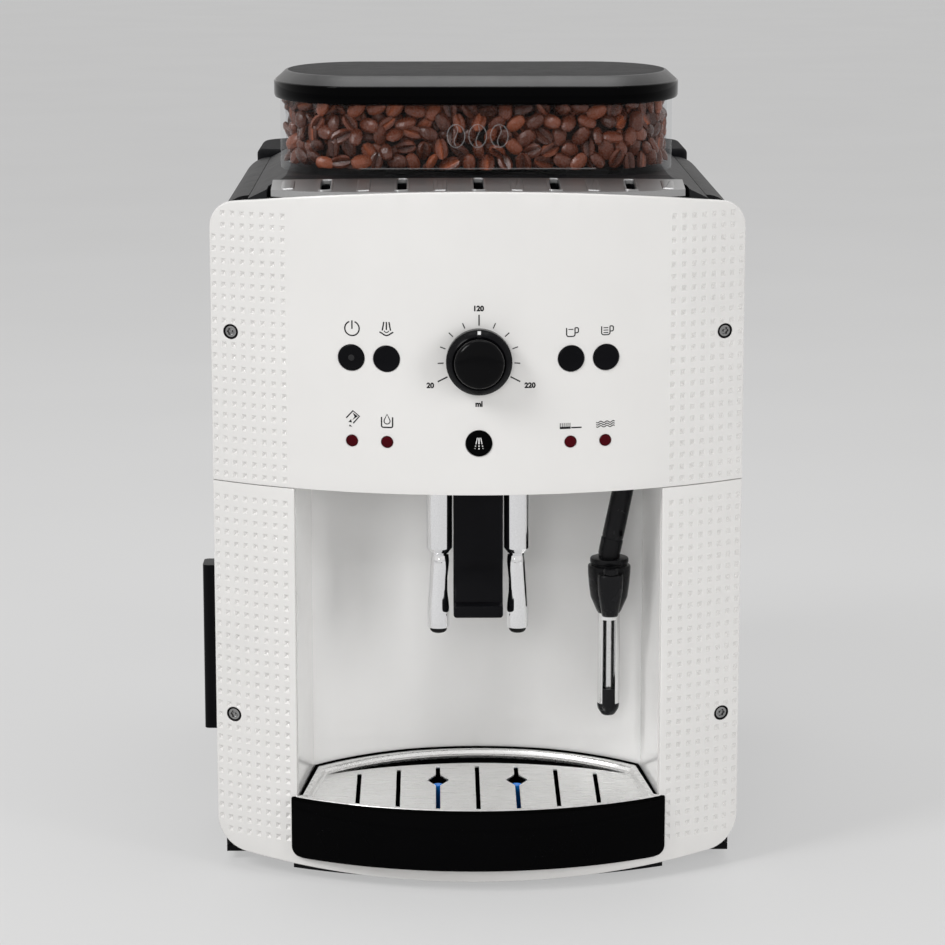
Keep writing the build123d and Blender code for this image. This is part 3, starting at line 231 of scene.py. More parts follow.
def clear(name, tint, share, most, roughness):
    """Clear plastic: see-through, with a mirror shine on its outer side that grows towards its edges."""
    material, tree, shader, place = new_finish(name)
    through = tree.nodes.new("ShaderNodeBsdfTransparent")
    through.inputs["Color"].default_value = (*tint, 1.0)
    mix = tree.nodes.new("ShaderNodeMixShader")
    fresnel = tree.nodes.new("ShaderNodeFresnel")
    fresnel.inputs["IOR"].default_value = 1.45
    side = tree.nodes.new("ShaderNodeNewGeometry")
    front = tree.nodes.new("ShaderNodeMath")
    front.operation = "SUBTRACT"
    front.inputs[0].default_value = 1.0
    tree.links.new(side.outputs["Backfacing"], front.inputs[1])
    shine = tree.nodes.new("ShaderNodeMath")
    shine.operation = "MULTIPLY"
    tree.links.new(between(tree, fresnel.outputs["Fac"], share, most), shine.inputs[0])
    tree.links.new(front.outputs[0], shine.inputs[1])
    tree.links.new(shine.outputs[0], mix.inputs["Fac"])
    shader.inputs["Base Color"].default_value = (*tint, 1.0)
    shader.inputs["Metallic"].default_value = 1.0
    gloss = between(tree, noise(tree, place, 12.0), roughness, roughness + 0.05)
    tree.links.new(gloss, shader.inputs["Roughness"])
    mixed(tree, mix, through, shader)
    return material


def bean_finish(roast):
    """Roasted beans: each bean's own brown from its attribute, with fine wrinkles and an oily shine."""
    material, tree, shader, place = new_finish("roasted_beans")
    attribute = tree.nodes.new("ShaderNodeAttribute")
    attribute.attribute_name = "roast"
    dark = tuple(c * 0.35 for c in roast)
    light = (roast[0] * 2.6, roast[1] * 2.7, roast[2] * 2.4)
    tree.links.new(ramp(tree, attribute.outputs["Fac"], [(0.0, dark), (0.55, roast), (1.0, light)]),
                   shader.inputs["Base Color"])
    wrinkle = noise(tree, place, 1.1, 4.0, 0.6)
    tree.links.new(between(tree, wrinkle, 0.12, 0.4), shader.inputs["Roughness"])
    bump(tree, shader, wrinkle, 0.25)
    return material


PLASTICS = {
    "bay_white": dict(colour=(0.88, 0.875, 0.865), roughness=0.14, coat=0.3, spread=0.015),
    "black_textured": dict(colour=(0.010, 0.010, 0.011), roughness=0.46, grain=0.45, depth=0.08, spread=0.2,
                           shine=0.12),
    "black_gloss": dict(colour=(0.0008, 0.0008, 0.001), roughness=0.08, spread=0.2, wear=0.03, shine=0.03),
    "black_satin": dict(colour=(0.004, 0.004, 0.005), roughness=0.34, grain=0.3, depth=0.02, spread=0.2,
                        shine=0.07),
    "wand_black": dict(colour=(0.007, 0.007, 0.008), roughness=0.26, grain=0.3, depth=0.01, spread=0.2,
                       shine=0.16),
    "lid_black": dict(colour=(0.014, 0.014, 0.015), roughness=0.36, grain=0.4, depth=0.05, spread=0.2),
    "lid_matt": dict(colour=(0.014, 0.014, 0.015), roughness=0.55, grain=0.4, depth=0.06, spread=0.2,
                     shine=0.08),
    "dial_black": dict(colour=(0.001, 0.001, 0.0015), roughness=0.16, spread=0.2, shine=0.1),
    "dial_satin": dict(colour=(0.002, 0.002, 0.003), roughness=0.26, spread=0.2, shine=0.1),
    # Black that reflects nothing: the tray's dull lip, and painted shade on the slab under the grid's groove.
    "deep_black": dict(colour=(0.002, 0.002, 0.002), roughness=0.8, spread=0.2, shine=0.0),
    "matt_black": dict(colour=(0.006, 0.006, 0.007), roughness=0.6, grain=0.45, depth=0.05, shine=0.04),
    "button_black": dict(colour=(0.003, 0.003, 0.004), roughness=0.24, grain=0.3, depth=0.006, spread=0.2,
                         shine=0.07),
    "print_white": dict(colour=(0.7, 0.7, 0.7), roughness=0.4, spread=0.02, shine=0.2),
    "lens_grey": dict(colour=(0.012, 0.012, 0.013), roughness=0.12, spread=0.1, shine=0.3),
    # Painted shade: the bed in the hopper's middle is far darker than any bean, for the shade among the beans
    # inside.
    "bean_dark": dict(colour=(0.010, 0.004, 0.002), roughness=0.5, grain=4.0, depth=1.5, spread=0.3,
                      shine=0.2),
    "rubber": dict(colour=(0.007, 0.007, 0.007), roughness=0.55, grain=0.4, depth=0.03, shine=0.12),
    "blue_plastic": dict(colour=(0.01, 0.24, 0.85), roughness=0.25, spread=0.1, shine=0.3),
    "lamp_red": dict(colour=(0.06, 0.001, 0.004), roughness=0.14, grain=0.5, depth=0.05, spread=0.35,
                     shine=0.07),
    "grey_plastic": dict(colour=(0.16, 0.16, 0.17), roughness=0.4, grain=0.5, depth=0.03),
    "gear_plastic": dict(colour=(0.62, 0.6, 0.54), roughness=0.35, grain=0.5, depth=0.02),
    "board_green": dict(colour=(0.012, 0.13, 0.05), roughness=0.35, grain=0.8, depth=0.02, spread=0.2),
    "silicone": dict(colour=(0.55, 0.56, 0.55), roughness=0.4, grain=0.6, depth=0.02),
}
METALS = {
    "screw_steel": dict(colour=(0.3, 0.3, 0.3), roughness=0.25, depth=0.003),
    "sleeve_steel": dict(colour=(0.85, 0.85, 0.85), roughness=0.12, stretch=(1.0, 1.0, 0.02), depth=0.001),
    "tray_steel": dict(colour=(0.93, 0.93, 0.925), roughness=0.28, stretch=(0.03, 1.0, 1.0), depth=0.003,
                       anisotropy=0.4),
    "grille_grey": dict(colour=(0.4, 0.4, 0.402), roughness=0.38, depth=0.004),
    "chrome": dict(colour=(0.86, 0.86, 0.87), roughness=0.045),
    "steel": dict(colour=(0.74, 0.74, 0.74), roughness=0.24, stretch=(0.02, 1.0, 1.0), depth=0.003,
                  anisotropy=0.5),
    "aluminium": dict(colour=(0.6, 0.6, 0.61), roughness=0.38, depth=0.01),
    "burr_steel": dict(colour=(0.45, 0.45, 0.46), roughness=0.28, depth=0.004),
    "brass": dict(colour=(0.62, 0.45, 0.2), roughness=0.25, depth=0.004),
}
CLEAR_PLASTICS = {
    "clear_rib": dict(tint=(0.82, 0.82, 0.83), share=0.22, most=0.6, roughness=0.2),
    "clear_plastic": dict(tint=(0.95, 0.955, 0.96), share=0.0, most=0.35, roughness=0.04),
    "tank_clear": dict(tint=(0.42, 0.43, 0.45), share=0.03, most=0.4, roughness=0.08),
}


def make_finishes():
    """Every finish of the machine by its name, three of them in the colours of the settings."""
    scene = bpy.context.scene
    white, ink = tuple(scene.machine_front.colour), tuple(scene.machine_dial.print_colour)
    made = {
        "white_gloss": plastic("white_gloss", white, 0.22, coat=0.2, spread=0.012),
        "print_grey": plastic("print_grey", ink, 0.45, spread=0.08, shine=0.1),
        "roasted_beans": bean_finish(tuple(scene.machine_hopper.roast)),
    }
    for maker, finishes in ((plastic, PLASTICS), (metal, METALS), (clear, CLEAR_PLASTICS)):
        made.update({name: maker(name, **values) for name, values in finishes.items()})
    return made


FINISH = {}
NODE_SLOT = {part["node"]: part["material_slot"] for part in frame["record"]["subparts"]}


# Shapes. A shape is its points, in millimetres, and a list of face arrays.

def sheet(points, wrap_u=False, wrap_v=False):
    """Quads over a grid of points p(u, v), closed along an axis where it wraps."""
    rows, columns = points.shape[:2]
    index = np.arange(rows * columns).reshape(rows, columns)
    if wrap_u:
        index = np.vstack([index, index[:1]])
    if wrap_v:
        index = np.hstack([index, index[:, :1]])
    quads = np.stack([index[:-1, :-1], index[:-1, 1:], index[1:, 1:], index[1:, :-1]], -1).reshape(-1, 4)
    return points.reshape(-1, 3), [quads]


def join(*shapes):
    """Several shapes as one."""
    points, faces, start = [], [], 0
    for shape_points, shape_faces in shapes:
        points.append(shape_points)
        faces += [block + start for block in shape_faces]
        start += len(shape_points)
    return np.vstack(points), faces


def loft(loops):
    """Closed loops l(t) carried from the first to the last, with a flat cap on both ends."""
    loops = np.asarray(loops, float)
    points, faces = sheet(loops, wrap_v=True)
    count = loops.shape[1]
    last = len(points) - count
    ends = np.array([np.arange(count)[::-1], last + np.arange(count)])
    return points, faces + [ends]


def ring(radius, steps):
    """Points (cos t, sin t) times the radius."""
    angle = np.linspace(0, 2 * math.pi, steps, endpoint=False)
    return np.stack([radius * np.cos(angle), radius * np.sin(angle)], -1)


def turned(profile, steps=64, at=(0.0, 0.0), axis="z"):
    """A profile (radius, height) turned round the upright or the front to back axis through a place."""
    profile = np.asarray(profile, float)
    circle = ring(1.0, steps)
    flat = profile[:, None, 0, None] * circle[None]
    height = np.broadcast_to(profile[:, None, 1], flat.shape[:2])
    if axis == "z":
        points = np.stack([flat[..., 0] + at[0], flat[..., 1] + at[1], height], -1)
    else:
        points = np.stack([flat[..., 0] + at[0], height, flat[..., 1] + at[1]], -1)
    return sheet(points, wrap_v=True)


def corner_arc(start, bend, radius, steps):
    """Circle arc of a radius that joins the runs from start to bend[0] to bend[1]."""
    here, after = (np.asarray(p, float) for p in bend)
    into = (here - start) / np.linalg.norm(here - start)
    out = (after - here) / np.linalg.norm(after - here)
    turn = math.acos(max(-1.0, min(1.0, float(into @ out))))
    if radius <= 0 or turn < 1e-4:
        return here[None]
    reach = radius * math.tan(turn / 2)
    inward = (out - into) / np.linalg.norm(out - into)
    centre = here + inward * radius / math.cos(turn / 2)
    first, last = here - into * reach - centre, here + out * reach - centre
    share = np.linspace(0, 1, steps)[:, None]
    return centre + (np.sin((1 - share) * turn) * first + np.sin(share * turn) * last) / math.sin(turn)


def outline(corners, radii, steps=8):
    """Closed line through corners, each rounded by its own radius."""
    corners = [np.asarray(c, float) for c in corners]
    count = len(corners)
    arcs = [corner_arc(corners[i - 1], (corners[i], corners[(i + 1) % count]), radii[i], steps)
            for i in range(count)]
    return np.vstack(arcs)


def rounded_box(low, high, radius, steps):
    """Closed line round the rectangle between two corners, with one radius."""
    (left, near), (right, far) = low, high
    return outline([(left, near), (right, near), (right, far), (left, far)], [radius] * 4, steps)


def spread(loop, spacing):
    """The same closed line with extra points on runs longer than the spacing."""
    after = np.roll(loop, -1, axis=0)
    pieces = np.maximum(1, np.ceil(np.linalg.norm(after - loop, axis=1) / spacing)).astype(int)
    return np.vstack([a + (b - a) * np.arange(n)[:, None] / n for a, b, n in zip(loop, after, pieces)])


def unit(vectors):
    """Vectors of length one, or nought where they had none."""
    return vectors / np.maximum(np.linalg.norm(vectors, axis=1, keepdims=True), 1e-9)


def inset(loop, distance):
    """The closed line moved to its inner side, at each point along the mean of its neighbours' normals."""
    after, before = unit(np.roll(loop, -1, axis=0) - loop), unit(loop - np.roll(loop, 1, axis=0))
    side = unit(after + before)
    normal = np.stack([-side[:, 1], side[:, 0]], -1)
    stretch = 1.0 / np.maximum(0.5, np.sum(normal * np.stack([-after[:, 1], after[:, 0]], -1), axis=1))
    turn = np.sum(loop[:, 0] * np.roll(loop[:, 1], -1) - np.roll(loop[:, 0], -1) * loop[:, 1])
    return loop + normal * (stretch * distance * np.sign(turn))[:, None]


def upright(loop, z):
    """A plan line at a height, which may differ from point to point."""
    return np.column_stack([loop, np.broadcast_to(z, len(loop))])


def facing(loop, y):
    """A front line (x, z) at a depth, which may differ from point to point."""
    return np.column_stack([loop[:, 0], np.broadcast_to(y, len(loop)), loop[:, 1]])


def pad(loop, low, high, round_low=0.0, round_high=0.0, steps=5, lay=upright):
    """A slab between two levels whose edges are quarter rounds of their own radii."""
    sign = 1 if high > low else -1

    def edge(level, radius, inward):
        angle = np.linspace(0, math.pi / 2, steps)
        rounded = [(radius * (1 - math.sin(a)), level + inward * radius * (1 - math.cos(a))) for a in angle]
        return rounded if radius else [(0.0, level)]

    rows = edge(low, round_low, sign) + edge(high, round_high, -sign)[::-1]
    return loft([lay(inset(loop, d) if d else loop, level) for d, level in rows])


def tube(path, radius, steps=24):
    """A circle carried along a path; at each point it stands square to the mean of the runs beside it."""
    path = np.asarray(path, float)
    radii = np.broadcast_to(radius, len(path))
    along = np.gradient(path, axis=0)
    along = along / np.linalg.norm(along, axis=1, keepdims=True)
    helper = np.where(np.abs(along[:, 2:3]) > 0.9, [[0.0, 1.0, 0.0]], [[0.0, 0.0, 1.0]])
    side = np.cross(along, helper)
    side = side / np.linalg.norm(side, axis=1, keepdims=True)
    other = np.cross(side, along)
    circle = ring(1.0, steps)
    return loft(path[:, None] + radii[:, None, None] * (
        circle[None, :, 0, None] * side[:, None] + circle[None, :, 1, None] * other[:, None]))


def piece(name, shape, finish, body, replaces=(), sharp=32.0, recalculate=True):
    """Make a shape an object in the row frame that rides on a body and stands for CAD nodes."""
    points, faces = shape
    mesh = bpy.data.meshes.new(name)
    mesh.from_pydata((points * MM + ORIGIN).tolist(), [], [f for block in faces for f in block.tolist()])
    if recalculate:
        work = bmesh.new()
        work.from_mesh(mesh)
        bmesh.ops.remove_doubles(work, verts=work.verts, dist=2e-6)
        bmesh.ops.recalc_face_normals(work, faces=work.faces)
        work.to_mesh(mesh)
        work.free()
    mesh.shade_smooth()
    mesh.set_sharp_from_angle(angle=math.radians(sharp))
    mesh.materials.append(FINISH[finish])
    obj = bpy.data.objects.new(name, mesh)
    bpy.context.scene.collection.objects.link(obj)
    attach(obj, body)
    if replaces:
        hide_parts(*replaces)
    return obj


# Places on the front

FRONT_LOW, FRONT_HIGH = span("control_panel")
LOWER_LOW, LOWER_HIGH = span("lower_frame")
HALF = FRONT_HIGH[0]
LIP = FRONT_HIGH[1]
SEAM_HIGH, SEAM_LOW = FRONT_LOW[2], LOWER_HIGH[2]
TOP, BOTTOM = FRONT_HIGH[2], LOWER_LOW[2]
TOP_CORNER, BOTTOM_CORNER = 12.5, 15.0
BAY_HALF, BAY_CORNER = 84.0, 6.0
BAY_LOW = span("drip_tray")[0][2] - 0.6
EDGE_BAND = 3.2                         # strip at both sides where the front's wall runs back to its lip
BUTTONS = ("power_button", "steam_button", "one_cup_button", "two_cup_button", "rinse_button")


def bow_radius(half, rise):
    """Radius of the circle whose chord is twice the half and whose middle stands out by the rise."""
    return (half**2 + rise**2) / (2 * rise)


ARCH_RADIUS, SWEEP_RADIUS = bow_radius(105.0, 6.5), bow_radius(111.0, 5.7)


def centre_of(node):
    """Middle of a CAD node's box."""
    low, high = span(node)
    return (low + high) / 2


def place_of(node):
    """Middle (x, z) of a CAD node seen from the front."""
    return centre_of(node)[[0, 2]]


def bowed_edge(radius, centre_z, corner, sign):
    """The arched top (sign 1) or swept bottom (sign -1), from right to left, with its round corners.

    Both are a large circle that a small circle of the corner's radius joins to the upright side.
    """
    corner_x = HALF - corner
    corner_z = centre_z + sign * math.sqrt((radius - corner) ** 2 - corner_x**2)
    tilt = math.asin(corner_x / (radius - corner))
    angle = np.linspace(math.pi / 2, tilt, 12)
    right = np.stack([corner_x + corner * np.sin(angle), corner_z + sign * corner * np.cos(angle)], -1)
    angle = np.linspace(tilt, -tilt, 40)[1:-1]
    middle = np.stack([radius * np.sin(angle), centre_z + sign * radius * np.cos(angle)], -1)
    return np.vstack([right, middle, right[::-1] * (-1, 1)])


def inside(points, loop):
    """Which points lie inside a closed line, by the crossings of a ray."""
    x, z = points[:, 0][:, None], points[:, 1][:, None]
    ax, az = loop[:, 0][None], loop[:, 1][None]
    bx, bz = np.roll(loop[:, 0], -1)[None], np.roll(loop[:, 1], -1)[None]
    rise = np.where(bz == az, 1e-12, bz - az)
    crossing = ((az > z) != (bz > z)) & (x < (bx - ax) * (z - az) / rise + ax)
    return crossing.sum(1) % 2 == 1


DIMPLE_COLUMNS, DIMPLE_ROWS = 8, 54
FIRST_COLUMN, FIRST_ROW = 91.25, 12.9   # from the middle along the bow, and below the top
ROW_STRETCH = 1.026                     # rows stand a little further apart than columns
SEAM_GAP, RIM_GAP = 2.4, 1.1            # from the seam or the rim's rounding to a dimple's middle
DIMPLE_CLEAR = 0.8                      # share of the pitch round a dimple with no other points


def dimple_lattice(low, high, keep_out):
    """Centres of the dimples in one band of heights: columns at even arcs a of the bow, x = R sin(a / R)."""
    settings = bpy.context.scene.machine_front
    pitch = settings.dimple_pitch
    reach = FIRST_COLUMN + pitch * np.arange(DIMPLE_COLUMNS)
    rows = TOP - FIRST_ROW - ROW_STRETCH * pitch * np.arange(DIMPLE_ROWS)
    across, up = np.meshgrid(reach, rows)
    places = np.stack([FACE_RADIUS * np.sin(across.ravel() / FACE_RADIUS), up.ravel()], -1)
    places = np.vstack([places, places * (-1, 1)])
    good = (places[:, 1] > low + SEAM_GAP) & (places[:, 1] < high - SEAM_GAP)
    shell = inset(np.vstack([bowed_edge(ARCH_RADIUS, TOP - ARCH_RADIUS, TOP_CORNER, 1),
                             bowed_edge(SWEEP_RADIUS, BOTTOM + SWEEP_RADIUS, BOTTOM_CORNER, -1)[::-1]]),
                  settings.rim + RIM_GAP)
    good &= inside(places, shell)
    for centre, radius in keep_out:
        good &= np.linalg.norm(places - centre, axis=1) > radius
    return places[good]


NET_EDGE = 1.5                          # strip inside a net's outer line with no spaced points


def net(loops, spacing, margin=1.2, inner=None, inner_edges=None, clear_of=None):
    """Flat triangles that fill the first closed line outside the others, with points at a spacing.

    The margin is the strip without spaced points round the other lines. Inner points and edges are kept
    as they are, and clear_of says which of the spaced points may stay.
    """
    flat, runs, start = [], [], 0
    for loop in loops:
        index = np.arange(len(loop)) + start
        flat.append(loop)
        runs.append(np.stack([index, np.roll(index, -1)], -1))
        start += len(loop)
    if inner is not None:
        flat.append(inner)
        runs.append(inner_edges + start)
    low, high = loops[0].min(0), loops[0].max(0)
    across = np.arange(math.ceil(low[0] / spacing), high[0] / spacing) * spacing
    up = np.arange(math.ceil(low[1] / (2 * spacing)), high[1] / (2 * spacing)) * 2 * spacing
    grid = np.stack(np.meshgrid(across, up), -1).reshape(-1, 2)
    grid = grid[inside(grid, inset(loops[0], NET_EDGE))]
    for loop in loops[1:]:
        grid = grid[~inside(grid, inset(loop, -margin))]
    flat.append(grid[clear_of(grid)] if clear_of else grid)
    points = [Vector(p) for p in np.vstack(flat).tolist()]
    made = delaunay_2d_cdt(points, np.vstack(runs).tolist(), [], 0, 1e-6, True)
    plan, triangles = np.array([tuple(v) for v in made[0]]), np.array(made[2])
    middle = plan[triangles].mean(1)
    keep = inside(middle, loops[0])
    for loop in loops[1:]:
        keep &= ~inside(middle, loop)
    return plan, triangles[keep]


def wall_back(x):
    """Depth of the front's rear side: the face moved in by its wall, and the lip near both sides."""
    return np.where(np.abs(x) > HALF - EDGE_BAND, LIP, face_y(x, FACE_RADIUS - FACE_WALL))


def front_sheet(loops, roundings, dimples):
    """A bowed plate: a flat net of triangles in x and z that is laid on the face's circle.

    Each edge is a quarter round, then a wall back to its own depth, and the back is the face moved in by
    the wall. A dimple is a square whose middle is pushed in.
    """
    settings = bpy.context.scene.machine_front
    rims = [inset(loop, -rounding if index else rounding)
            for index, (loop, rounding) in enumerate(zip(loops, roundings))]
    half = settings.dimple_size / 2
    square = np.array([(-half, -half), (half, -half), (half, half), (-half, half), (0, 0)])
    lean = np.sqrt(1 - (dimples[:, 0] / FACE_RADIUS) ** 2)
    corners = dimples[:, None] + square[None] * np.stack([lean, np.ones(len(lean))], -1)[:, None]
    sides = np.array([(0, 1), (1, 2), (2, 3), (3, 0), (0, 4), (1, 4), (2, 4), (3, 4)])
    sides = (5 * np.arange(len(dimples))[:, None, None] + sides[None]).reshape(-1, 2)

    def clear_of_dimples(points):
        reach = DIMPLE_CLEAR * settings.dimple_pitch
        return np.abs(points[:, None] - dimples[None]).max(-1).min(1) > reach

    plan, triangles = net(rims, spacing=4.0, margin=1.5, inner=corners.reshape(-1, 2), inner_edges=sides,
                          clear_of=clear_of_dimples)
    nearest = np.linalg.norm(plan[:, None] - dimples[None], axis=-1).min(1)
    pressed = np.where(nearest < 1e-4, -settings.dimple_depth, 0.0)
    shapes = [(on_face(plan, pressed), [triangles]),
              (facing(plan, wall_back(plan[:, 0])), [triangles[:, ::-1]])]
    for loop, rim, rounding in zip(loops, rims, roundings):
        rounding = np.broadcast_to(rounding, len(loop))
        rows = []
        for a in np.linspace(0, math.pi / 2, 5):
            line = rim + (loop - rim) * math.sin(a)
            rows.append(facing(line, face_y(line[:, 0]) + rounding * (1 - math.cos(a))))
        back = wall_back(rim[:, 0])
        rows.append(facing(loop, np.maximum(back, face_y(loop[:, 0]) + rounding + 0.2)))
        rows.append(facing(rim, back))
        shapes.append(sheet(np.array(rows), wrap_v=True))
    return join(*shapes)


def upper_loop():
    """Outline of the upper panel, anticlockwise from the seam's right end."""
    top = bowed_edge(ARCH_RADIUS, TOP - ARCH_RADIUS, TOP_CORNER, 1)
    seam = np.array([(-HALF, SEAM_HIGH), (HALF, SEAM_HIGH)])
    return spread(np.vstack([top, seam]), 5.0)


def lower_loop():
    """Outline of the lower frame: the swept bottom, both columns and the opening of the bay."""
    bottom = bowed_edge(SWEEP_RADIUS, BOTTOM + SWEEP_RADIUS, BOTTOM_CORNER, -1)[::-1]
    right_seam = [(HALF, SEAM_LOW), (BAY_HALF, SEAM_LOW)]
    left_seam = [(-BAY_HALF, SEAM_LOW), (-HALF, SEAM_LOW)]
    angle = np.linspace(0, math.pi / 2, 8)
    curve = np.stack([BAY_HALF - BAY_CORNER * (1 - np.cos(angle)),
                      BAY_LOW + BAY_CORNER * (1 - np.sin(angle))], -1)
    opening = np.vstack([curve, curve[::-1] * (-1, 1)])
    return spread(np.vstack([bottom, right_seam, opening, left_seam]), 5.0)


FADE_START, FADE_RUN = 1.0, 6.0         # from the seam to where the rounding starts to grow, and its run


def near_seam(loop, plain, fine):
    """Rounding of an edge: fine along the seam, plain elsewhere, changing over a few millimetres."""
    distance = np.abs(loop[:, 1] - (SEAM_HIGH + SEAM_LOW) / 2)
    return fine + (plain - fine) * np.clip((distance - FADE_START) / FADE_RUN, 0, 1)


SCREW_HOLE, BUTTON_HOLE, LAMP_HOLE, DIAL_HOLE = 3.5, 6.02, 2.72, 3.6
HOLE_ROUND, SEAM_ROUND, SCREW_CLEAR = 0.3, 0.22, 4.6


def front_panels():
    """The upper panel with the holes of its controls, and the columns, each with its own dimples."""
    rim, screws = bpy.context.scene.machine_front.rim, screw_places()
    controls = [(place_of(button), BUTTON_HOLE) for button in BUTTONS]
    controls += [(at, LAMP_HOLE) for at in lamp_places()] + [(place_of("dial_knob"), DIAL_HOLE)]
    for name, loop, node, holes in (("front_panel", upper_loop(), "control_panel", controls),
                                    ("front_columns", lower_loop(), "lower_frame", [])):
        low, high = loop[:, 1].min(), loop[:, 1].max()
        holes = [(s, SCREW_HOLE) for s in screws if low < s[1] < high] + holes
        loops = [loop] + [ring(radius, 40) + centre for centre, radius in holes]
        roundings = [near_seam(loop, rim, SEAM_ROUND)] + [HOLE_ROUND] * len(holes)
        dimples = dimple_lattice(low, high, [(s, SCREW_CLEAR) for s in screws])
        piece(name, front_sheet(loops, roundings, dimples), "white_gloss", "root", [node], sharp=20.0)


# Printed marks on the front

def arc(centre, radius, start, end, steps=16):
    """Points (x, z) of a circle's arc between two angles in degrees, from the right and anticlockwise."""
    angle = np.radians(np.linspace(start, end, steps))
    return np.stack([centre[0] + radius * np.cos(angle), centre[1] + radius * np.sin(angle)], -1)


def on_face(flat, lift):
    """Front points (x, z) set out from the bowed face by a lift along its normal."""
    across = flat[..., 0] / FACE_RADIUS
    return np.stack([flat[..., 0] + lift * across,
                     face_y(flat[..., 0]) - lift * np.sqrt(1 - across**2), flat[..., 1]], -1)


LINE = 0.6                              # width of a printed line
PRINT_HEIGHT = 0.05                     # how far the print stands out
FIGURE_WEIGHT, FIGURE_HEIGHT = 0.05, 2.6


def stroke(path, width, at=(0.0, 0.0), lay=on_face, height=PRINT_HEIGHT, closed=False):
    """A printed line: a flat bar of the width, carried along a path and laid on a surface."""
    path = np.asarray(path, float) + at
    if closed:
        ahead = unit(np.roll(path, -1, axis=0) - np.roll(path, 1, axis=0))
    else:
        ahead = unit(np.gradient(path, axis=0))
    side = np.stack([-ahead[:, 1], ahead[:, 0]], -1) * width / 2
    rows = np.stack([lay(path + side, height), lay(path - side, height),
                     lay(path - side, -height), lay(path + side, -height)], 1)
    return sheet(rows, wrap_u=True, wrap_v=True) if closed else loft(rows)


def patch(corners, at):
    """A small filled shape with corners (x, z), as a thin slab on the face."""
    corners = np.asarray(corners, float) + at
    return loft([on_face(corners, -PRINT_HEIGHT), on_face(corners, PRINT_HEIGHT)])


def lettering(text, at):
    """Raised figures laid on the face, centred on a place (x, z)."""
    curve = bpy.data.curves.new("figures", "FONT")
    curve.body, curve.size, curve.offset, curve.extrude = text, 1.0, FIGURE_WEIGHT, 0.5
    maker = bpy.data.objects.new("figures", curve)
    mesh = bpy.data.meshes.new_from_object(maker)
    mesh.calc_loop_triangles()
    points = np.empty(3 * len(mesh.vertices))
    mesh.vertices.foreach_get("co", points)
    triangles = np.empty(3 * len(mesh.loop_triangles), int)
    mesh.loop_triangles.foreach_get("vertices", triangles)
    points, triangles = points.reshape(-1, 3), triangles.reshape(-1, 3)
    bpy.data.objects.remove(maker)
    bpy.data.meshes.remove(mesh)
    bpy.data.curves.remove(curve)
    low, high = points.min(0), points.max(0)
    scale = FIGURE_HEIGHT / (high[1] - low[1])
    flat = (points[:, :2] - (low[:2] + high[:2]) / 2) * scale + at
    laid = np.where(points[:, 2:] > 0, on_face(flat, PRINT_HEIGHT), on_face(flat, -PRINT_HEIGHT))
    return laid, [triangles]


def power_mark(at):
    """An open circle with a stroke at its top."""
    return join(stroke(arc((0, 0), 3.25, 111, 429, 40), LINE, at), stroke([(0, -0.2), (0, 3.6)], LINE, at))


def steam_mark(at):
    """Three strokes that spread downwards, over a small curve and a wave."""
    strokes = ([(-1.15, 2.9), (-1.85, -1.0)], [(0, 2.9), (0, -0.7)], [(1.15, 2.9), (1.85, -1.0)])
    curve = [(-1.1, -1.1), (-0.5, -1.75), (0, -1.9), (0.5, -1.75), (1.1, -1.1)]
    wave = [(-3.1, -1.7), (-2.2, -2.15), (-1.1, -2.9), (0, -3.3), (1.1, -2.9), (2.2, -2.15), (3.1, -1.7)]
    return join(*[stroke(line, LINE, at) for line in strokes], stroke(curve, 0.4, at), stroke(wave, LINE, at))


def cup_mark(at, levels):
    """A cup seen from the side, with a handle and a line for each level of filling."""
    cup = np.vstack([[(-2.35, 1.9)], arc((-1.35, -1.0), 1.0, 180, 270, 6),
                     arc((0.45, -1.0), 1.0, 270, 360, 6), [(1.45, 1.9)]])
    handle = np.vstack([[(1.45, 1.9)], arc((2.3, 1.2), 0.7, 90, 0, 6), arc((2.3, 0.3), 0.7, 0, -90, 6),
                        [(1.45, -0.4)]])
    marks = [stroke(cup, 0.5, at), stroke(handle, 0.5, at)]
    marks += [stroke([(-1.5, 1.2 - 1.1 * k), (0.7, 1.2 - 1.1 * k)], 0.4, at) for k in range(levels)]
    return join(*marks)


def grounds_mark(at):
    """A tipped box that pours out grains, with an arrow along the fall."""
    box = [(-2.9, -0.3), (0.2, 3.1), (3.1, 0.7), (0.3, -2.6)]
    return join(stroke(box, LINE, at), patch([(0.1, 2.2), (2.4, 0.7), (-0.1, -1.2), (0.9, 0.4)], at),
                patch([(-0.7, -0.8), (-0.3, -2.3), (-1.9, -2.1)], at),
                patch([(-1.3, -3.2), (-0.2, -4.2), (-1.6, -4.1)], at))


def water_mark(at):
    """An open box with a drop inside."""
    box = np.vstack([[(-2.5, 2.0)], arc((-1.7, -1.9), 0.8, 180, 270, 5), arc((1.7, -1.9), 0.8, 270, 360, 5),
                     [(2.5, 2.0)]])
    drop = np.vstack([arc((0, 0.2), 1.35, 150, 390, 20), [(0.0, 3.3)]])
    return join(stroke(box, LINE, at), stroke(drop, 0.42, at, closed=True))


def brush_mark(at):
    """A brush that lies on its back: a bar with bristles and a handle."""
    bristles = [stroke([(x, -0.5), (x, 1.2)], 0.34, at) for x in np.linspace(-4.7, -0.3, 6)]
    bars = [stroke(np.stack([np.linspace(start, end, 7), np.full(7, -1.0)], -1), width, at)
            for start, end, width in ((-4.9, 0.0, 1.0), (0.3, 5.0, 0.6))]
    return join(*bristles, *bars)


def scale_mark(at):
    """Three short waves."""
    x = np.linspace(-4.2, 4.2, 34)
    return join(*[stroke(np.stack([x, 0.35 * np.sin(2.2 * x) + z], -1), 0.42, at) for z in (-1.0, 0.0, 1.0)])


def on_dish(flat, lift):
    """Lay marks a little higher than the face, on the dished middle of a cap."""
    return on_face(flat, lift + 0.1)


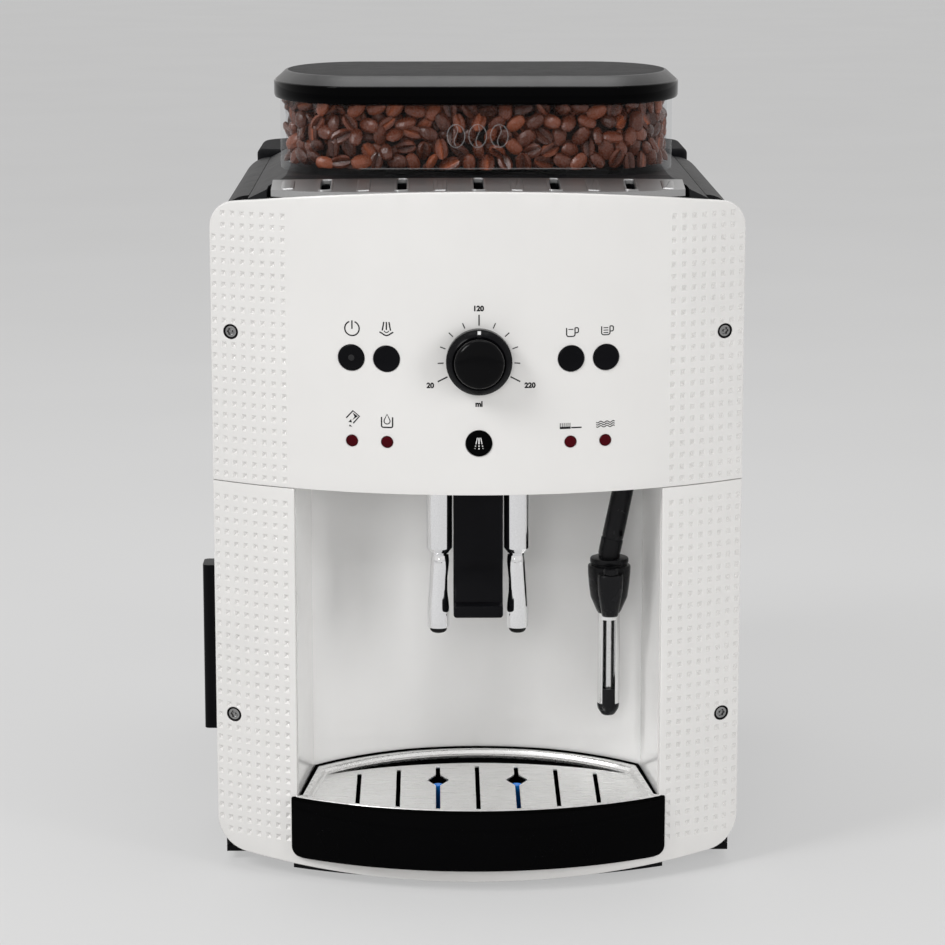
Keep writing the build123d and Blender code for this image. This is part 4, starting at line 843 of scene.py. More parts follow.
def shower_mark(at):
    """Three fanned sprays on a cap, solid at the top and dotted below."""
    marks = []
    for top, bottom, width in ((-0.75, -1.9, 0.42), (0.0, 0.0, 0.62), (0.75, 1.9, 0.42)):
        for high, low in ((2.6, -0.3), (-0.9, -1.5), (-2.1, -2.7)):
            ends = [(top + (bottom - top) * (2.6 - z) / 5.3, z) for z in (high, low)]
            marks.append(stroke(ends, width, at, lay=on_dish))
    return join(*marks)


TICK_START = 15.9                       # distance of the ticks' inner ends from the dial's middle
LONG_TICK, SHORT_TICK = (20.8, LINE), (18.5, 0.46)      # distance of the outer end, and width


def dial_scale(centre):
    """Ticks round the dial: the first, the middle and the last are longer, with their volumes."""
    settings = bpy.context.scene.machine_dial
    long_ones = (0, settings.ticks // 2, settings.ticks - 1)
    marks = []
    for index, angle in enumerate(np.linspace(-settings.sweep / 2, settings.sweep / 2, settings.ticks)):
        end, width = LONG_TICK if index in long_ones else SHORT_TICK
        away = np.array([math.sin(angle), math.cos(angle)])
        marks.append(stroke([away * TICK_START, away * end], width, centre))
    figures = (("120", 0.0, 23.6), ("20", -21.8, -11.3), ("220", 22.9, -11.3), ("ml", 0.0, -19.6))
    return join(*marks, *[lettering(text, centre + (x, z)) for text, x, z in figures])


def legends():
    """Every printed symbol, at its distance (x, z) from the button or lamp that it belongs to."""
    grounds, water, brush, waves = lamp_places()
    one, two = place_of("one_cup_button"), place_of("two_cup_button")
    marks = join(power_mark(place_of("power_button") + (0.4, 13.3)),
                 steam_mark(place_of("steam_button") + (0, 13.8)),
                 cup_mark(one + (0.2, 12.0), 1), cup_mark(two + (0.2, 12.2), 3),
                 grounds_mark(grounds + (0.3, 10.6)), water_mark(water + (0, 9.4)),
                 brush_mark(brush + (0, 7.4)), scale_mark(waves + (0, 7.4)),
                 dial_scale(place_of("dial_knob")))
    piece("front_marks", marks, "print_grey", "root")


# Controls

def on_cap(centre, profile, steps=48, lobes=0, lobe_depth=0.0):
    """A round cap on the bowed face: rings of radius r lifted from it by l(r), with lobes where marked."""
    profile = np.asarray(profile, float)
    angle = np.linspace(0, 2 * math.pi, steps, endpoint=False)
    share = np.ones((len(profile), steps))
    if lobes:
        share = np.where(profile[:, 2:3] > 0, 1 + lobe_depth * np.cos(lobes * angle)[None], share)
    x = centre[0] + profile[:, :1] * np.cos(angle)[None] * share
    z = centre[1] + profile[:, :1] * np.sin(angle)[None] * share
    return sheet(np.stack([x, face_y(x) - profile[:, 1:2], z], -1), wrap_v=True)


LAMP_EDGE, LAMP_PITCH = 2.65, 15.9      # half a lens, and the distance between two lamps


def lamp_places():
    """Middles (x, z) of the four lamps, from left to right."""
    low, high = span("indicator_lamps")
    z = (low[2] + high[2]) / 2
    outer = high[0] - LAMP_EDGE
    inner = outer - LAMP_PITCH
    return [np.array([x, z]) for x in (-outer, -inner, inner, outer)]


LOWER_SCREW, UPPER_SCREW = (3.7, 6.6), (4.6, 2.0)       # in from the side and the foot or top of their box


def screw_places():
    """Middles (x, z) of the four screws: the lower pair stands further out than the upper one."""
    low, high = span("panel_screws")
    places = ((high[0] - LOWER_SCREW[0], low[2] + LOWER_SCREW[1]),
              (high[0] - UPPER_SCREW[0], high[2] - UPPER_SCREW[1]))
    return [np.array([side * x, z]) for x, z in places for side in (-1, 1)]


# Profiles of round caps: radius, height over the face and, on a screw, one where the ring is lobed.
CAP = [(0.0, -6.0), (5.8, -6.0), (5.86, -0.1), (5.8, 0.3), (5.6, 0.5), (5.3, 0.56), (5.0, 0.5), (4.2, 0.3),
       (2.8, 0.12), (1.4, 0.04), (0.0, 0.0)]
POWER_LENS = [(0.0, -0.4), (1.35, -0.4), (1.4, 0.12), (1.25, 0.24), (1.0, 0.2), (0.0, 0.28)]
LENS = [(0.0, -1.2), (2.56, -1.2), (2.6, 0.05), (2.5, 0.25), (2.2, 0.36), (1.4, 0.45), (0.0, 0.5)]
SCREW_HEAD = [(0.0, -1.9, 0), (2.6, -1.9, 0), (2.7, -1.1, 0), (2.55, -0.75, 0), (2.1, -0.6, 0),
              (1.6, -0.6, 1), (1.5, -1.5, 1), (0.62, -1.55, 0), (0.55, -0.95, 0), (0.0, -0.9, 0)]
SCREW_WELL = [(0.0, -2.6), (3.3, -2.6), (3.35, -0.6), (3.05, -0.6), (3.0, -1.75), (0.0, -1.75)]
SCREW_LOBES, LOBE_DEPTH = 6, 0.13


def buttons():
    """Five dished caps, a small lens on the power button and the spray on the rinse button."""
    for node in BUTTONS:
        centre = place_of(node)
        finish = "black_gloss" if node == "rinse_button" else "button_black"
        piece(node + "_cap", on_cap(centre, CAP), finish, node, [node], sharp=50)
        if node == "power_button":
            piece("power_lens", on_cap(centre, POWER_LENS, 32), "lens_grey", node)
        if node == "rinse_button":
            piece("rinse_spray", shower_mark(centre), "print_white", node)


def lamps():
    """Four domed lenses."""
    piece("lamp_lenses", join(*[on_cap(at, LENS, 36) for at in lamp_places()]), "lamp_red", "root",
          ["indicator_lamps"], sharp=60)


def screws():
    """Round heads in their recesses, each with a lobed socket round a pin."""
    places = screw_places()
    heads = [on_cap(at, SCREW_HEAD, 36, SCREW_LOBES, LOBE_DEPTH) for at in places]
    piece("screw_heads", join(*heads), "screw_steel", "root", ["panel_screws"], sharp=25)
    piece("screw_wells", join(*[on_cap(at, SCREW_WELL, 36) for at in places]), "black_satin", "root")


DIAL_DOME_OUT = 4.5                     # how far the dome stands out from the ring
BEVEL_DEPTH, BEVEL_WIDTH = 2.75, 2.05   # slope at the rim of the dial's ring


def dial():
    """Ring with a bevel, a groove and a glossy dome, turned round the front to back axis."""
    low, high = span("dial_knob")
    centre = place_of("dial_knob")
    radius, front = (high[0] - low[0]) / 2, low[1] + DIAL_DOME_OUT
    profile = [(0.0, -0.5), (radius - 0.5, -0.5), (radius, -1.0), (radius, front + 3.4),
               (radius - 0.25, front + 3.0), (radius - 2.3, front + 0.25), (radius - 2.7, front),
               (radius - 3.0, front + 0.1), (radius - 3.3, front + 1.1), (0.0, front + 1.1)]
    dome = [(0.0, 1.6), (11.3, 1.6), (11.3, -0.4), (11.15, -1.6), (10.7, -2.5), (9.8, -3.25), (8.2, -3.85),
            (6.0, -4.25), (3.0, -4.46), (0.0, -DIAL_DOME_OUT)]
    dome = turned([(r, front + y) for r, y in dome], 96, centre, axis="y")
    piece("dial_grip", turned(profile, 96, centre, axis="y"), "dial_satin", "dial", ["dial_knob"], sharp=24)
    piece("dial_dome", dome, "dial_black", "dial", sharp=24)

    def on_bevel(flat, lift):
        """Lay the pointer on the bevel at the top of the ring."""
        reach = flat[..., 1] - centre[1]
        depth = front + 0.25 + (reach - (radius - 2.3)) * BEVEL_DEPTH / BEVEL_WIDTH
        return np.stack([flat[..., 0], np.clip(depth, front + 0.05, 0) - lift, flat[..., 1]], -1)

    pointer = stroke([(0, radius - 3.0), (0, radius - 1.6), (0, radius - 0.5)], 1.5, centre, on_bevel, 0.12)
    piece("dial_pointer", pointer, "print_white", "dial")
    saddle = rounded_box((-0.95, radius - 3.6), (0.95, radius - 2.6), 0.2, 3) + centre
    piece("dial_saddle", pad(saddle, front + 1.4, front - 0.25, 0, 0.2, lay=facing), "dial_black", "dial")


# Bean hopper, its lid and the cup grille

LID_STRAIGHT = 55.0                     # half the straight run of the lid's long sides


def lid_values():
    """Half width, middle and half depth of the lid's plan, and its top."""
    low, high = span("hopper_lid")
    return (high[0] - low[0]) / 2, (low[1] + high[1]) / 2, (high[1] - low[1]) / 2, high[2]


def lid_loop(inset_by=0.0):
    """The lid's plan: two half ellipses joined by straight runs, from the right front anticlockwise."""
    half, middle, deep, _ = lid_values()
    angle = np.linspace(-math.pi / 2, math.pi / 2, 28)
    end = np.stack([LID_STRAIGHT + (half - LID_STRAIGHT - inset_by) * np.cos(angle),
                    middle + (deep - inset_by) * np.sin(angle)], -1)
    run = np.linspace(LID_STRAIGHT, -LID_STRAIGHT, 14)[1:-1]
    back = np.stack([run, np.full(12, middle + deep - inset_by)], -1)
    front = np.stack([-run, np.full(12, middle - deep + inset_by)], -1)
    return np.vstack([end, back, end[::-1] * (-1, 1), front])


RIM_HEIGHT, RIM_SKIRT, BEVEL_IN, PLUG_DROP, HOPPER_INSET = 7.0, 1.2, 6.0, 2.2, 2.8


def lid():
    """Rim, bevel and a shallow panel on top, with the ring below that locates it in the hopper.

    Each is the lid's plan carried up a profile of (distance inwards, height).
    """
    top = lid_values()[3]
    rim, outer, inner = top - 5.0 - RIM_HEIGHT, HOPPER_INSET + 2.7, HOPPER_INSET + 4.7
    plug, skirt, crown = rim - PLUG_DROP, rim - RIM_SKIRT, rim + RIM_HEIGHT
    rim_rows = [(inner + 8, rim + 4.5), (inner, rim + 4.5), (inner, plug + 0.3), (outer + 0.3, plug + 0.3),
                (outer, plug + 0.8), (outer, rim + 0.1), (2.5, rim + 0.1), (2.4, skirt), (1.3, skirt),
                (0.5, skirt + 0.35), (0.1, skirt + 1.2), (0.0, rim + 1.2), (0.0, crown - 0.8),
                (0.2, crown - 0.25), (0.8, crown + 0.1)]
    bevel_rows = [rim_rows[-1], (BEVEL_IN - 0.6, top - 0.75), (BEVEL_IN + 0.6, top - 0.42)]
    panel_rows = [bevel_rows[-1], (BEVEL_IN + 2.5, top - 0.3), (BEVEL_IN + 12, top - 0.1),
                  (BEVEL_IN + 30, top)]
    for name, rows, finish, replaces in (("lid_rim", rim_rows, "black_gloss", ["hopper_lid"]),
                                         ("lid_bevel", bevel_rows, "lid_black", []),
                                         ("lid_panel", panel_rows, "lid_matt", [])):
        shape = loft([upright(lid_loop(d), z) for d, z in rows])
        piece(name, shape, finish, "hopper_lid", replaces, sharp=30)


def bean_grid(length):
    """One bean on a grid, and which of its points lie in the groove.

    Along the bean its radius is a power of the sine, and round it the flat side is pressed in.
    """
    along = np.linspace(0, math.pi, 7)[:, None]
    around = np.linspace(-math.pi / 2, 1.5 * math.pi, 10, endpoint=False)[None]
    fat = np.sin(along) ** 0.8
    wide, thick, flatness, groove_depth = 0.355 * length, 0.27 * length, 0.62, 0.55
    y = wide * fat * np.cos(around)
    z = thick * fat * np.sin(around)
    z = np.where(z < 0, flatness * z, z)
    groove = (np.arange(10) == 0)[None] & (fat > 0.2)
    z = np.where(groove, z + groove_depth * thick * fat, z)
    x = np.broadcast_to(-0.5 * length * np.cos(along), y.shape)
    return np.stack([x, y, z], -1), np.broadcast_to(groove, y.shape)


def turns(angles):
    """Rotation matrices from yaw, pitch and roll: turns about z, then y, then x."""
    made = np.eye(3)
    for axis, angle in zip((2, 1, 0), angles.T):
        i, j = (axis + 1) % 3, (axis + 2) % 3
        turn = np.zeros((len(angle), 3, 3))
        turn[:, axis, axis] = 1
        turn[:, i, i] = turn[:, j, j] = np.cos(angle)
        turn[:, i, j], turn[:, j, i] = -np.sin(angle), np.sin(angle)
        made = made @ turn
    return made


def even_points(loop, count):
    """Points at even distances along a closed line."""
    closed = np.vstack([loop, loop[:1]])
    length = np.concatenate([[0], np.cumsum(np.linalg.norm(np.diff(closed, axis=0), axis=1))])
    where = np.linspace(0, length[-1], count, endpoint=False)
    return np.stack([np.interp(where, length, closed[:, k]) for k in (0, 1)], -1)


HOPPER_HEIGHT, HOPPER_FLOOR, HOPPER_WALL = 34.0, 2.7, 2.5
KNOB_CLEAR, BED_CLEAR = 17.5, 16.5      # free rounds about the grind knob, in the beans and in their bed
SHELLS, LEVELS = ((0.3, 58), (0.85, 52)), 5     # bean lengths in from the wall, and beans at each level
LAYER_IN = (18, 20)                     # how far in from the lid's sides and front the top layer starts


def bean_places(random, floor, top, length):
    """Middles and turns of the beans: two shells along the wall, the flat sides along it, and a top layer."""
    half, middle, deep, _ = lid_values()
    wall = HOPPER_INSET + HOPPER_WALL
    places, frames = [], []
    levels = np.linspace(floor + 0.3 * length, top - 0.15 * length, LEVELS)
    for shell, count in SHELLS:
        for level, z in enumerate(levels):
            loop = even_points(lid_loop(wall + shell * length), count)
            along = np.roll(loop, -1, axis=0) - loop
            loop = loop + (level % 2) * 0.5 * along + random.normal(0, 0.06 * length, loop.shape)
            places.append(np.column_stack([loop, z + random.normal(0, 0.08 * length, count)]))
            along = np.column_stack([unit(along), np.zeros(count)])
            spin = random.uniform(-math.pi, math.pi, (count, 1))
            first = np.cos(spin) * along + np.sin(spin) * [[0.0, 0.0, 1.0]]
            flip = np.where(random.uniform(size=(count, 1)) < 0.4, -1.0, 1.0)
            third = flip * np.column_stack([along[:, 1], -along[:, 0], np.zeros(count)])
            base = np.stack([first, np.cross(third, first), third], -1)
            frames.append(turns(random.normal(0, 0.38, (count, 3))) @ base)
    step = 0.82 * length
    x, y = np.meshgrid(np.arange(-half + LAYER_IN[0], half - LAYER_IN[0] + 1, step),
                       np.arange(middle - deep + LAYER_IN[1], middle + deep - LAYER_IN[1] + 1, 0.8 * step))
    layer = np.stack([x.ravel(), y.ravel()], -1) + random.normal(0, 0.12 * length, (x.size, 2))
    layer = layer[inside(layer, lid_loop(wall + 1.3 * length))]
    places.append(np.column_stack([layer, top - 0.25 * length + random.normal(0, 0.1 * length, len(layer))]))
    frames.append(turns(random.uniform(-math.pi, math.pi, (len(layer), 3)) * (1.0, 0.12, 0.12)))
    return np.vstack(places), np.concatenate(frames)


def beans():
    """Beans against the clear walls and on top, over a bed that fills the middle, nearly black with painted
    shade of the beans inside.
    """
    settings = bpy.context.scene.machine_hopper
    knob = centre_of("grind_knob")
    random = np.random.default_rng(11)
    hopper_top = span("bean_hopper")[1][2]
    floor, top = hopper_top - HOPPER_HEIGHT + HOPPER_FLOOR, hopper_top - PLUG_DROP + 0.2
    places, frames = bean_places(random, floor, top, settings.bean_length)
    away = np.hypot(places[:, 0] - knob[0], places[:, 1] - knob[1]) > KNOB_CLEAR
    places, frames = places[away][:settings.beans], frames[away][:settings.beans]
    shape, groove = bean_grid(settings.bean_length)
    size = random.uniform(0.86, 1.06, len(places))
    points = np.einsum("bij,rcj->brci", frames, shape) * size[:, None, None, None] + places[:, None, None]
    points[..., 2] = np.clip(points[..., 2], floor, top + 1.2)
    quads = sheet(shape, wrap_v=True)[1][0]
    faces = (quads[None] + groove.size * np.arange(len(places))[:, None, None]).reshape(-1, 4)
    obj = piece("coffee_beans", (points.reshape(-1, 3), [faces]), "roasted_beans", "root", recalculate=False)
    tone = np.broadcast_to(random.beta(2.2, 2.4, len(places))[:, None, None] * 0.85, points.shape[:3])
    golden = random.uniform(size=len(places)) < 0.3
    tone = np.where(groove[None], np.where(golden, 1.0, 0.0)[:, None, None], tone)
    obj.data.attributes.new("roast", "FLOAT", "POINT").data.foreach_set("value", tone.ravel())
    # The bed is painted shade: a very dark body for the shade among the beans inside the hopper.
    rows = ((13.0, floor + 0.5), (12.0, floor + 6), (12.5, top - 8), (17.0, top - 5), (30.0, top - 4.5))
    bed = loft([upright(lid_loop(d), z) for d, z in rows])
    away = bed[0][:, :2] - knob[:2]
    reach = np.hypot(away[:, 0], away[:, 1])[:, None]
    bed[0][:, :2] += np.maximum(0, BED_CLEAR - reach) * away / np.maximum(reach, 0.1)
    piece("bean_bed", bed, "bean_dark", "root")


def window_marks():
    """Three beans and a filling line, moulded proud of the hopper's front wall."""
    low, high = span("bean_hopper")

    def lay(flat, lift):
        return facing(flat, low[1] - 0.1 - lift * 2)

    marks = []
    for x in (-9.9, 0.0, 9.9):
        middle = (x, high[2] - 15.5)
        marks.append(stroke(arc((0, 0), 1.0, 0, 360, 33)[:-1] * (4.0, 5.2), 0.5, middle, lay, closed=True))
        cleft = np.linspace(-4.6, 4.6, 12)
        marks.append(stroke(np.stack([0.8 * np.sin(cleft / 1.6), cleft], -1), 0.45, middle, lay))
    marks.append(stroke([(-54, high[2] - 30.4), (54, high[2] - 30.4)], 0.5, lay=lay))
    piece("hopper_window_marks", join(*marks), "clear_rib", "root")


GRILLE_DEPTH = 52.0                     # from the nose to where the grille is level with the deck
SLOT_PITCH, SLOT_WIDTH, SLOT_BACK = 34.4, 4.4, 40.0
FRAME_IN = 6.5                          # from the front's face to the slots and ribs
RIB_WIDTH, RIB_BACK = 5.2, 40.5


def grille_height(x, y):
    """Top of the grille: the arch of the front's edge at the front, level with the deck at its depth."""
    arch = TOP - 0.1 - (ARCH_RADIUS - np.sqrt(ARCH_RADIUS**2 - np.asarray(x) ** 2))
    return arch + (span("top_deck")[1][2] - arch) * np.clip(np.asarray(y) / GRILLE_DEPTH, 0, 1)


def grille():
    """A bowed panel with raised ribs, cut by five framed slots over black wells of painted shade."""
    half, back = span("cup_grille")[1][:2]

    def frame_box(x, width, rear, radius, steps):
        return rounded_box((x - width / 2, face_y(x) + FRAME_IN), (x + width / 2, rear), radius, steps)

    slots = [frame_box(x, SLOT_WIDTH, SLOT_BACK, 1.4, 5) for x in SLOT_PITCH * np.arange(-2, 3)]
    x = np.linspace(-half, half, 60)
    front = np.stack([x, face_y(x, FACE_RADIUS - FACE_WALL) + 0.3], -1)
    edge = spread(np.vstack([front, [(half, back), (-half, back)]]), 4.0)
    plan, triangles = net([edge] + slots, spacing=3.0)

    def lay(flat, drop):
        return upright(flat, grille_height(flat[:, 0], flat[:, 1]) - drop)

    shapes = [(lay(plan, 0.0), [triangles]), sheet(np.array([lay(edge, 0.0), lay(edge, 3.0)]), wrap_v=True)]
    for loop in slots:
        rows = ((-1.1, -0.02), (-1.0, -0.5), (-0.4, -0.55), (0.0, -0.1), (0.0, 2.0))
        shapes.append(sheet(np.array([lay(inset(loop, d), drop) for d, drop in rows]), wrap_v=True))
    for middle in SLOT_PITCH * (np.arange(6) - 2.5):
        if abs(middle) > half - 3:
            middle = math.copysign(half - 7.5, middle)
        rib = frame_box(middle, RIB_WIDTH, RIB_BACK, 1.2, 4)
        rows = ((-0.5, 0.05), (-0.1, -0.3), (0.3, -0.4), (1.4, -0.4))
        shapes.append(loft([lay(inset(rib, d), drop) for d, drop in rows]))
    piece("grille_panel", join(*shapes), "grille_grey", "root", ["cup_grille"], sharp=25)
    # Black wells under the slots: painted shade of the dark openings into the machine.
    rows = ((1.0, 7.0), (0.0, 7.0), (0.0, 1.5), (-0.3, 1.5), (-0.3, 7.5), (1.0, 7.5))
    wells = [loft([lay(inset(loop, d), drop) for d, drop in rows]) for loop in slots]
    piece("slot_shade_wells", join(*wells), "black_satin", "root")


# Coffee outlet and steam wand

# Spouts: how far below the tubes' foot each ring lies, its radius, and its shift outwards.
SPOUT_RINGS = np.array([(0.8, 3.5, -0.4), (1.2, 4.0, -0.4), (3.0, 4.25, -0.4), (4.2, 4.4, -0.38),
                        (6.0, 4.45, -0.35), (12.0, 4.65, -0.15), (18.0, 4.85, 0.1), (24.0, 5.05, 0.3),
                        (27.5, 5.15, 0.4)])
SPOUT_MOUTH = ((1.2, 5.2, 0.4), (0.3, 4.95, 0.4), (0.0, 4.4, 0.4))
DENT_DEPTH, DENT_PLACE, DENT_REACH = 1.1, 15.0, 8.5     # hollow on the side that faces the grip
TIP_SHIFT, RIVET_DROP = 0.4, 3.2


def spout(side, reach, depth, foot, mouth):
    """Rings that widen downwards and lean outwards, with a soft hollow exp(-t^2) on the inner side."""
    rings = np.vstack([[(foot - down, radius, shift) for down, radius, shift in SPOUT_RINGS],
                       [(mouth + up, radius, shift) for up, radius, shift in SPOUT_MOUTH]])
    level, size, shift = rings.T
    circle = ring(1.0, 56)
    inward = np.clip(-side * circle[:, 0], 0, 1) ** 2
    dent = DENT_DEPTH * np.exp(-((level - (foot - DENT_PLACE)) / DENT_REACH) ** 2)
    x = side * (reach + shift)[:, None] + size[:, None] * circle[None, :, 0]
    x = x + side * dent[:, None] * inward[None]
    y = depth + size[:, None] * circle[None, :, 1]
    return loft(np.stack([x, y, np.broadcast_to(level[:, None], x.shape)], -1))


def outlet():
    """Tubes and spouts with a rivet each, their tips, and the grip between them."""
    tube_low, tube_high = span("outlet_tubes")
    depth = (tube_low[1] + tube_high[1]) / 2
    radius = (tube_high[1] - tube_low[1]) / 2
    reach = tube_high[0] - radius + 0.5
    top, foot = tube_high[2], tube_low[2]
    mouth, end = span("outlet_spouts")[0][2], span("spout_tips")[0][2]
    tube_profile = [(0.0, top), (radius - 0.3, top), (radius, top - 0.3), (radius, foot + 2.4),
                    (radius - 0.15, foot + 2.0), (radius - 1.5, foot + 0.3), (radius - 1.6, foot),
                    (radius - 2.2, foot - 0.4), (3.6, foot - 0.5), (3.6, foot - 2.0), (0.0, foot - 2.0)]
    rivet_profile = [(r, depth + y) for r, y in ((0.0, -4.6), (0.9, -4.55), (1.3, -4.3), (1.35, -3.6))]
    tip_profile = [(0.0, mouth + 0.5), (3.9, mouth + 0.5), (4.0, mouth - 0.5), (3.7, end + 0.9),
                   (3.0, end + 0.25), (2.4, end), (1.6, end + 0.1), (1.3, end + 1.2), (0.0, end + 1.3)]
    tubes, spouts, tips = [], [], []
    for side in (-1, 1):
        tubes.append(turned(tube_profile, 64, (side * reach, depth)))
        spouts.append(spout(side, reach, depth, foot, mouth))
        spouts.append(turned(rivet_profile, 20, (side * (reach - TIP_SHIFT), foot - RIVET_DROP),
                             axis="y"))
        tips.append(turned(tip_profile, 40, (side * (reach + TIP_SHIFT), depth)))
    piece("coffee_tubes", join(*tubes), "chrome", "outlet", ["outlet_tubes"], sharp=28)
    piece("coffee_spouts", join(*spouts), "chrome", "outlet", ["outlet_spouts"], sharp=28)
    piece("spout_ends", join(*tips), "rubber", "outlet", ["spout_tips"], sharp=28)
    grip()


def grip():
    """The grip's side view (y, z): upright, hollowed over its foot and drawn out into a rounded lip."""
    (_, lip, low), (half, back, head) = span("outlet_slider")
    front = lip + 6.0
    share = np.linspace(0, math.pi, 12)
    hollow = np.stack([front - 0.2 + 3.4 * np.sin(share) ** 1.4, np.linspace(low + 27, low + 6.5, 12)], -1)
    corner = 1.6
    side = np.vstack([[(front, head), (front, low + 30)], hollow, [(lip + 1.4, low + 6.0)],
                      arc((lip + corner, low + 4.4), corner, 100, 180, 6),
                      arc((lip + corner, low + corner), corner, 180, 270, 6), [(back, low), (back, head)]])

    def across(loop, x):
        return np.column_stack([np.broadcast_to(x, len(loop)), loop])

    piece("outlet_grip", pad(side, -half, half, 1.5, 1.5, 6, lay=across), "black_satin", "outlet",
          ["outlet_slider"], sharp=40)


BALL_RADIUS = 7.0
# The arm: the share of its length from the ball, and its radius there, with a joint near its foot.
ARM_RINGS = np.array([(0.14, 4.9), (0.3, 4.95), (0.6, 5.0), (0.79, 5.0), (0.8, 4.85), (0.815, 4.85),
                      (0.825, 5.1), (0.84, 5.15), (0.96, 5.15), (1.0, 5.1)])
ARM_FOOT = 5.0
# The collar and the tapering body: distance in from the widest ring, and height under the top.
COLLAR = ((2.2, 0.0), (1.3, 0.3), (1.0, 0.9), (1.0, 2.2), (1.3, 2.7), (1.6, 3.0), (1.6, 3.5), (0.7, 3.6),
          (0.1, 4.1), (0.0, 4.8), (0.15, 8), (0.55, 13), (1.3, 18.6), (1.7, 19.8))
# The boss: height under its top, half width, and how far its nose stands back from the front.
BOSS_RINGS = ((0.0, 5.0, 1.1), (0.15, 5.55, 0.5), (0.8, 5.9, 0.1), (3, 6.0, 0.0), (8, 5.7, 0.5),
              (13, 5.0, 1.6), (17, 4.3, 2.8))
BOSS_FOOT = ((0.8, 3.9, 3.6), (0.2, 3.6, 4.2), (0.0, 3.0, 5.0))
BOSS_SQUARE = 0.75                      # power of the sine and cosine that squares the boss's rings
KNOB_TEETH, TOOTH_DEPTH = 12, 0.05


def wand():
    """Leaning arm, collar, tapering body with a boss and its knob, windowed sleeve and tip."""
    sleeve_low, sleeve_high = span("wand_sleeve")
    body_low, body_high = span("wand_nozzle")
    arm_high = span("wand_arm")[1]
    x, y = (sleeve_low[0] + sleeve_high[0]) / 2, (sleeve_low[1] + sleeve_high[1]) / 2
    ball = np.array([arm_high[0] - BALL_RADIUS, y, arm_high[2] - BALL_RADIUS])
    foot = np.array([x, y, body_high[2] + 2.0])
    run = np.vstack([ball + (foot - ball) * ARM_RINGS[:, :1], [(x, y, body_high[2] - 0.3)]])
    arm = tube(run, [*ARM_RINGS[:, 1], ARM_FOOT], 40)
    angle = np.linspace(0, math.pi, 20)
    globe = np.stack([BALL_RADIUS * np.sin(angle), ball[2] + BALL_RADIUS * np.cos(angle)], -1)
    piece("steam_arm", join(arm, turned(globe, 40, ball[:2])), "wand_black", "wand", ["wand_arm"], sharp=30)
    latch = rounded_box((-0.5, -1.3), (0.5, 1.3), 0.3, 3) + (x + 5.2, foot[2] + 10.0)
    piece("arm_latch", pad(latch, y - 2.6, y - 4.9, 0, 0.1, lay=facing), "black_gloss", "wand")

    top, base = body_high[2], body_low[2]
    wide = (body_high[0] - body_low[0]) / 2
    body = [(0.0, top)] + [(wide - inwards, top - down) for inwards, down in COLLAR]
    body += [(wide - 4.2, base + 0.9), (wide - 4.7, base + 0.2), (5.0, base), (0.0, base)]
    knob_low, knob_high = span("air_knob")
    shape = join(turned(body, 64, (x, y)), boss(x, body_low[1], y - 4.0, knob_low[2] + 2.9, base))
    piece("froth_body", shape, "wand_black", "wand", ["wand_nozzle"], sharp=35)
    air_dial(knob_low, knob_high)
    sleeve(x, y, sleeve_low[2], sleeve_high[2], (sleeve_high[0] - sleeve_low[0]) / 2, span("wand_tip")[0][2])


def boss(x, front, rear, top, base):
    """Rings (cos t, sin t) to a power, each from its own nose to the rear."""
    level, size, back = np.array([(top - down, half, set_back) for down, half, set_back in BOSS_RINGS]
                                 + [(base + up, half, set_back) for up, half, set_back in BOSS_FOOT]).T
    nose = front + back
    circle = ring(1.0, 48)
    cx, cy = (np.sign(circle) * np.abs(circle) ** BOSS_SQUARE).T
    points = np.stack([x + size[:, None] * cx[None],
                       ((nose + rear) / 2)[:, None] + ((rear - nose) / 2)[:, None] * cy[None],
                       np.broadcast_to(level[:, None], (len(level), len(circle)))], -1)
    return loft(points)


def air_dial(low, high):
    """Small knob: rings whose radius drops in twelve notches, over a pin."""
    angle = np.linspace(0, 2 * math.pi, 96, endpoint=False)
    teeth = 1 - TOOTH_DEPTH * (np.cos(KNOB_TEETH * angle) > 0.2)
    x, y = (low[:2] + high[:2]) / 2
    radius, top = (high[0] - low[0]) / 2, high[2]
    rows = ((radius - 0.2, top - 2.95), (radius, top - 2.7), (radius, top - 0.6), (radius - 0.5, top - 0.15),
            (radius - 1.3, top), (0.8, top - 0.2))
    loops = [np.stack([x + r * teeth * np.cos(angle), y + r * teeth * np.sin(angle), np.full(96, z)], -1)
             for r, z in rows]
    pin = turned([(0.0, low[2]), (1.5, low[2]), (1.5, top - 2.9), (0.0, top - 2.9)], 24, (x, y))
    piece("air_dial", join(loft(loops), pin), "wand_black", "air_knob", ["air_knob"], sharp=25)


WINDOW_HALF, SLEEVE_WALL = 3.0, 0.7
TONGUE_RISE, TONGUE_NARROW = 7.3, (0.96, 1.0)


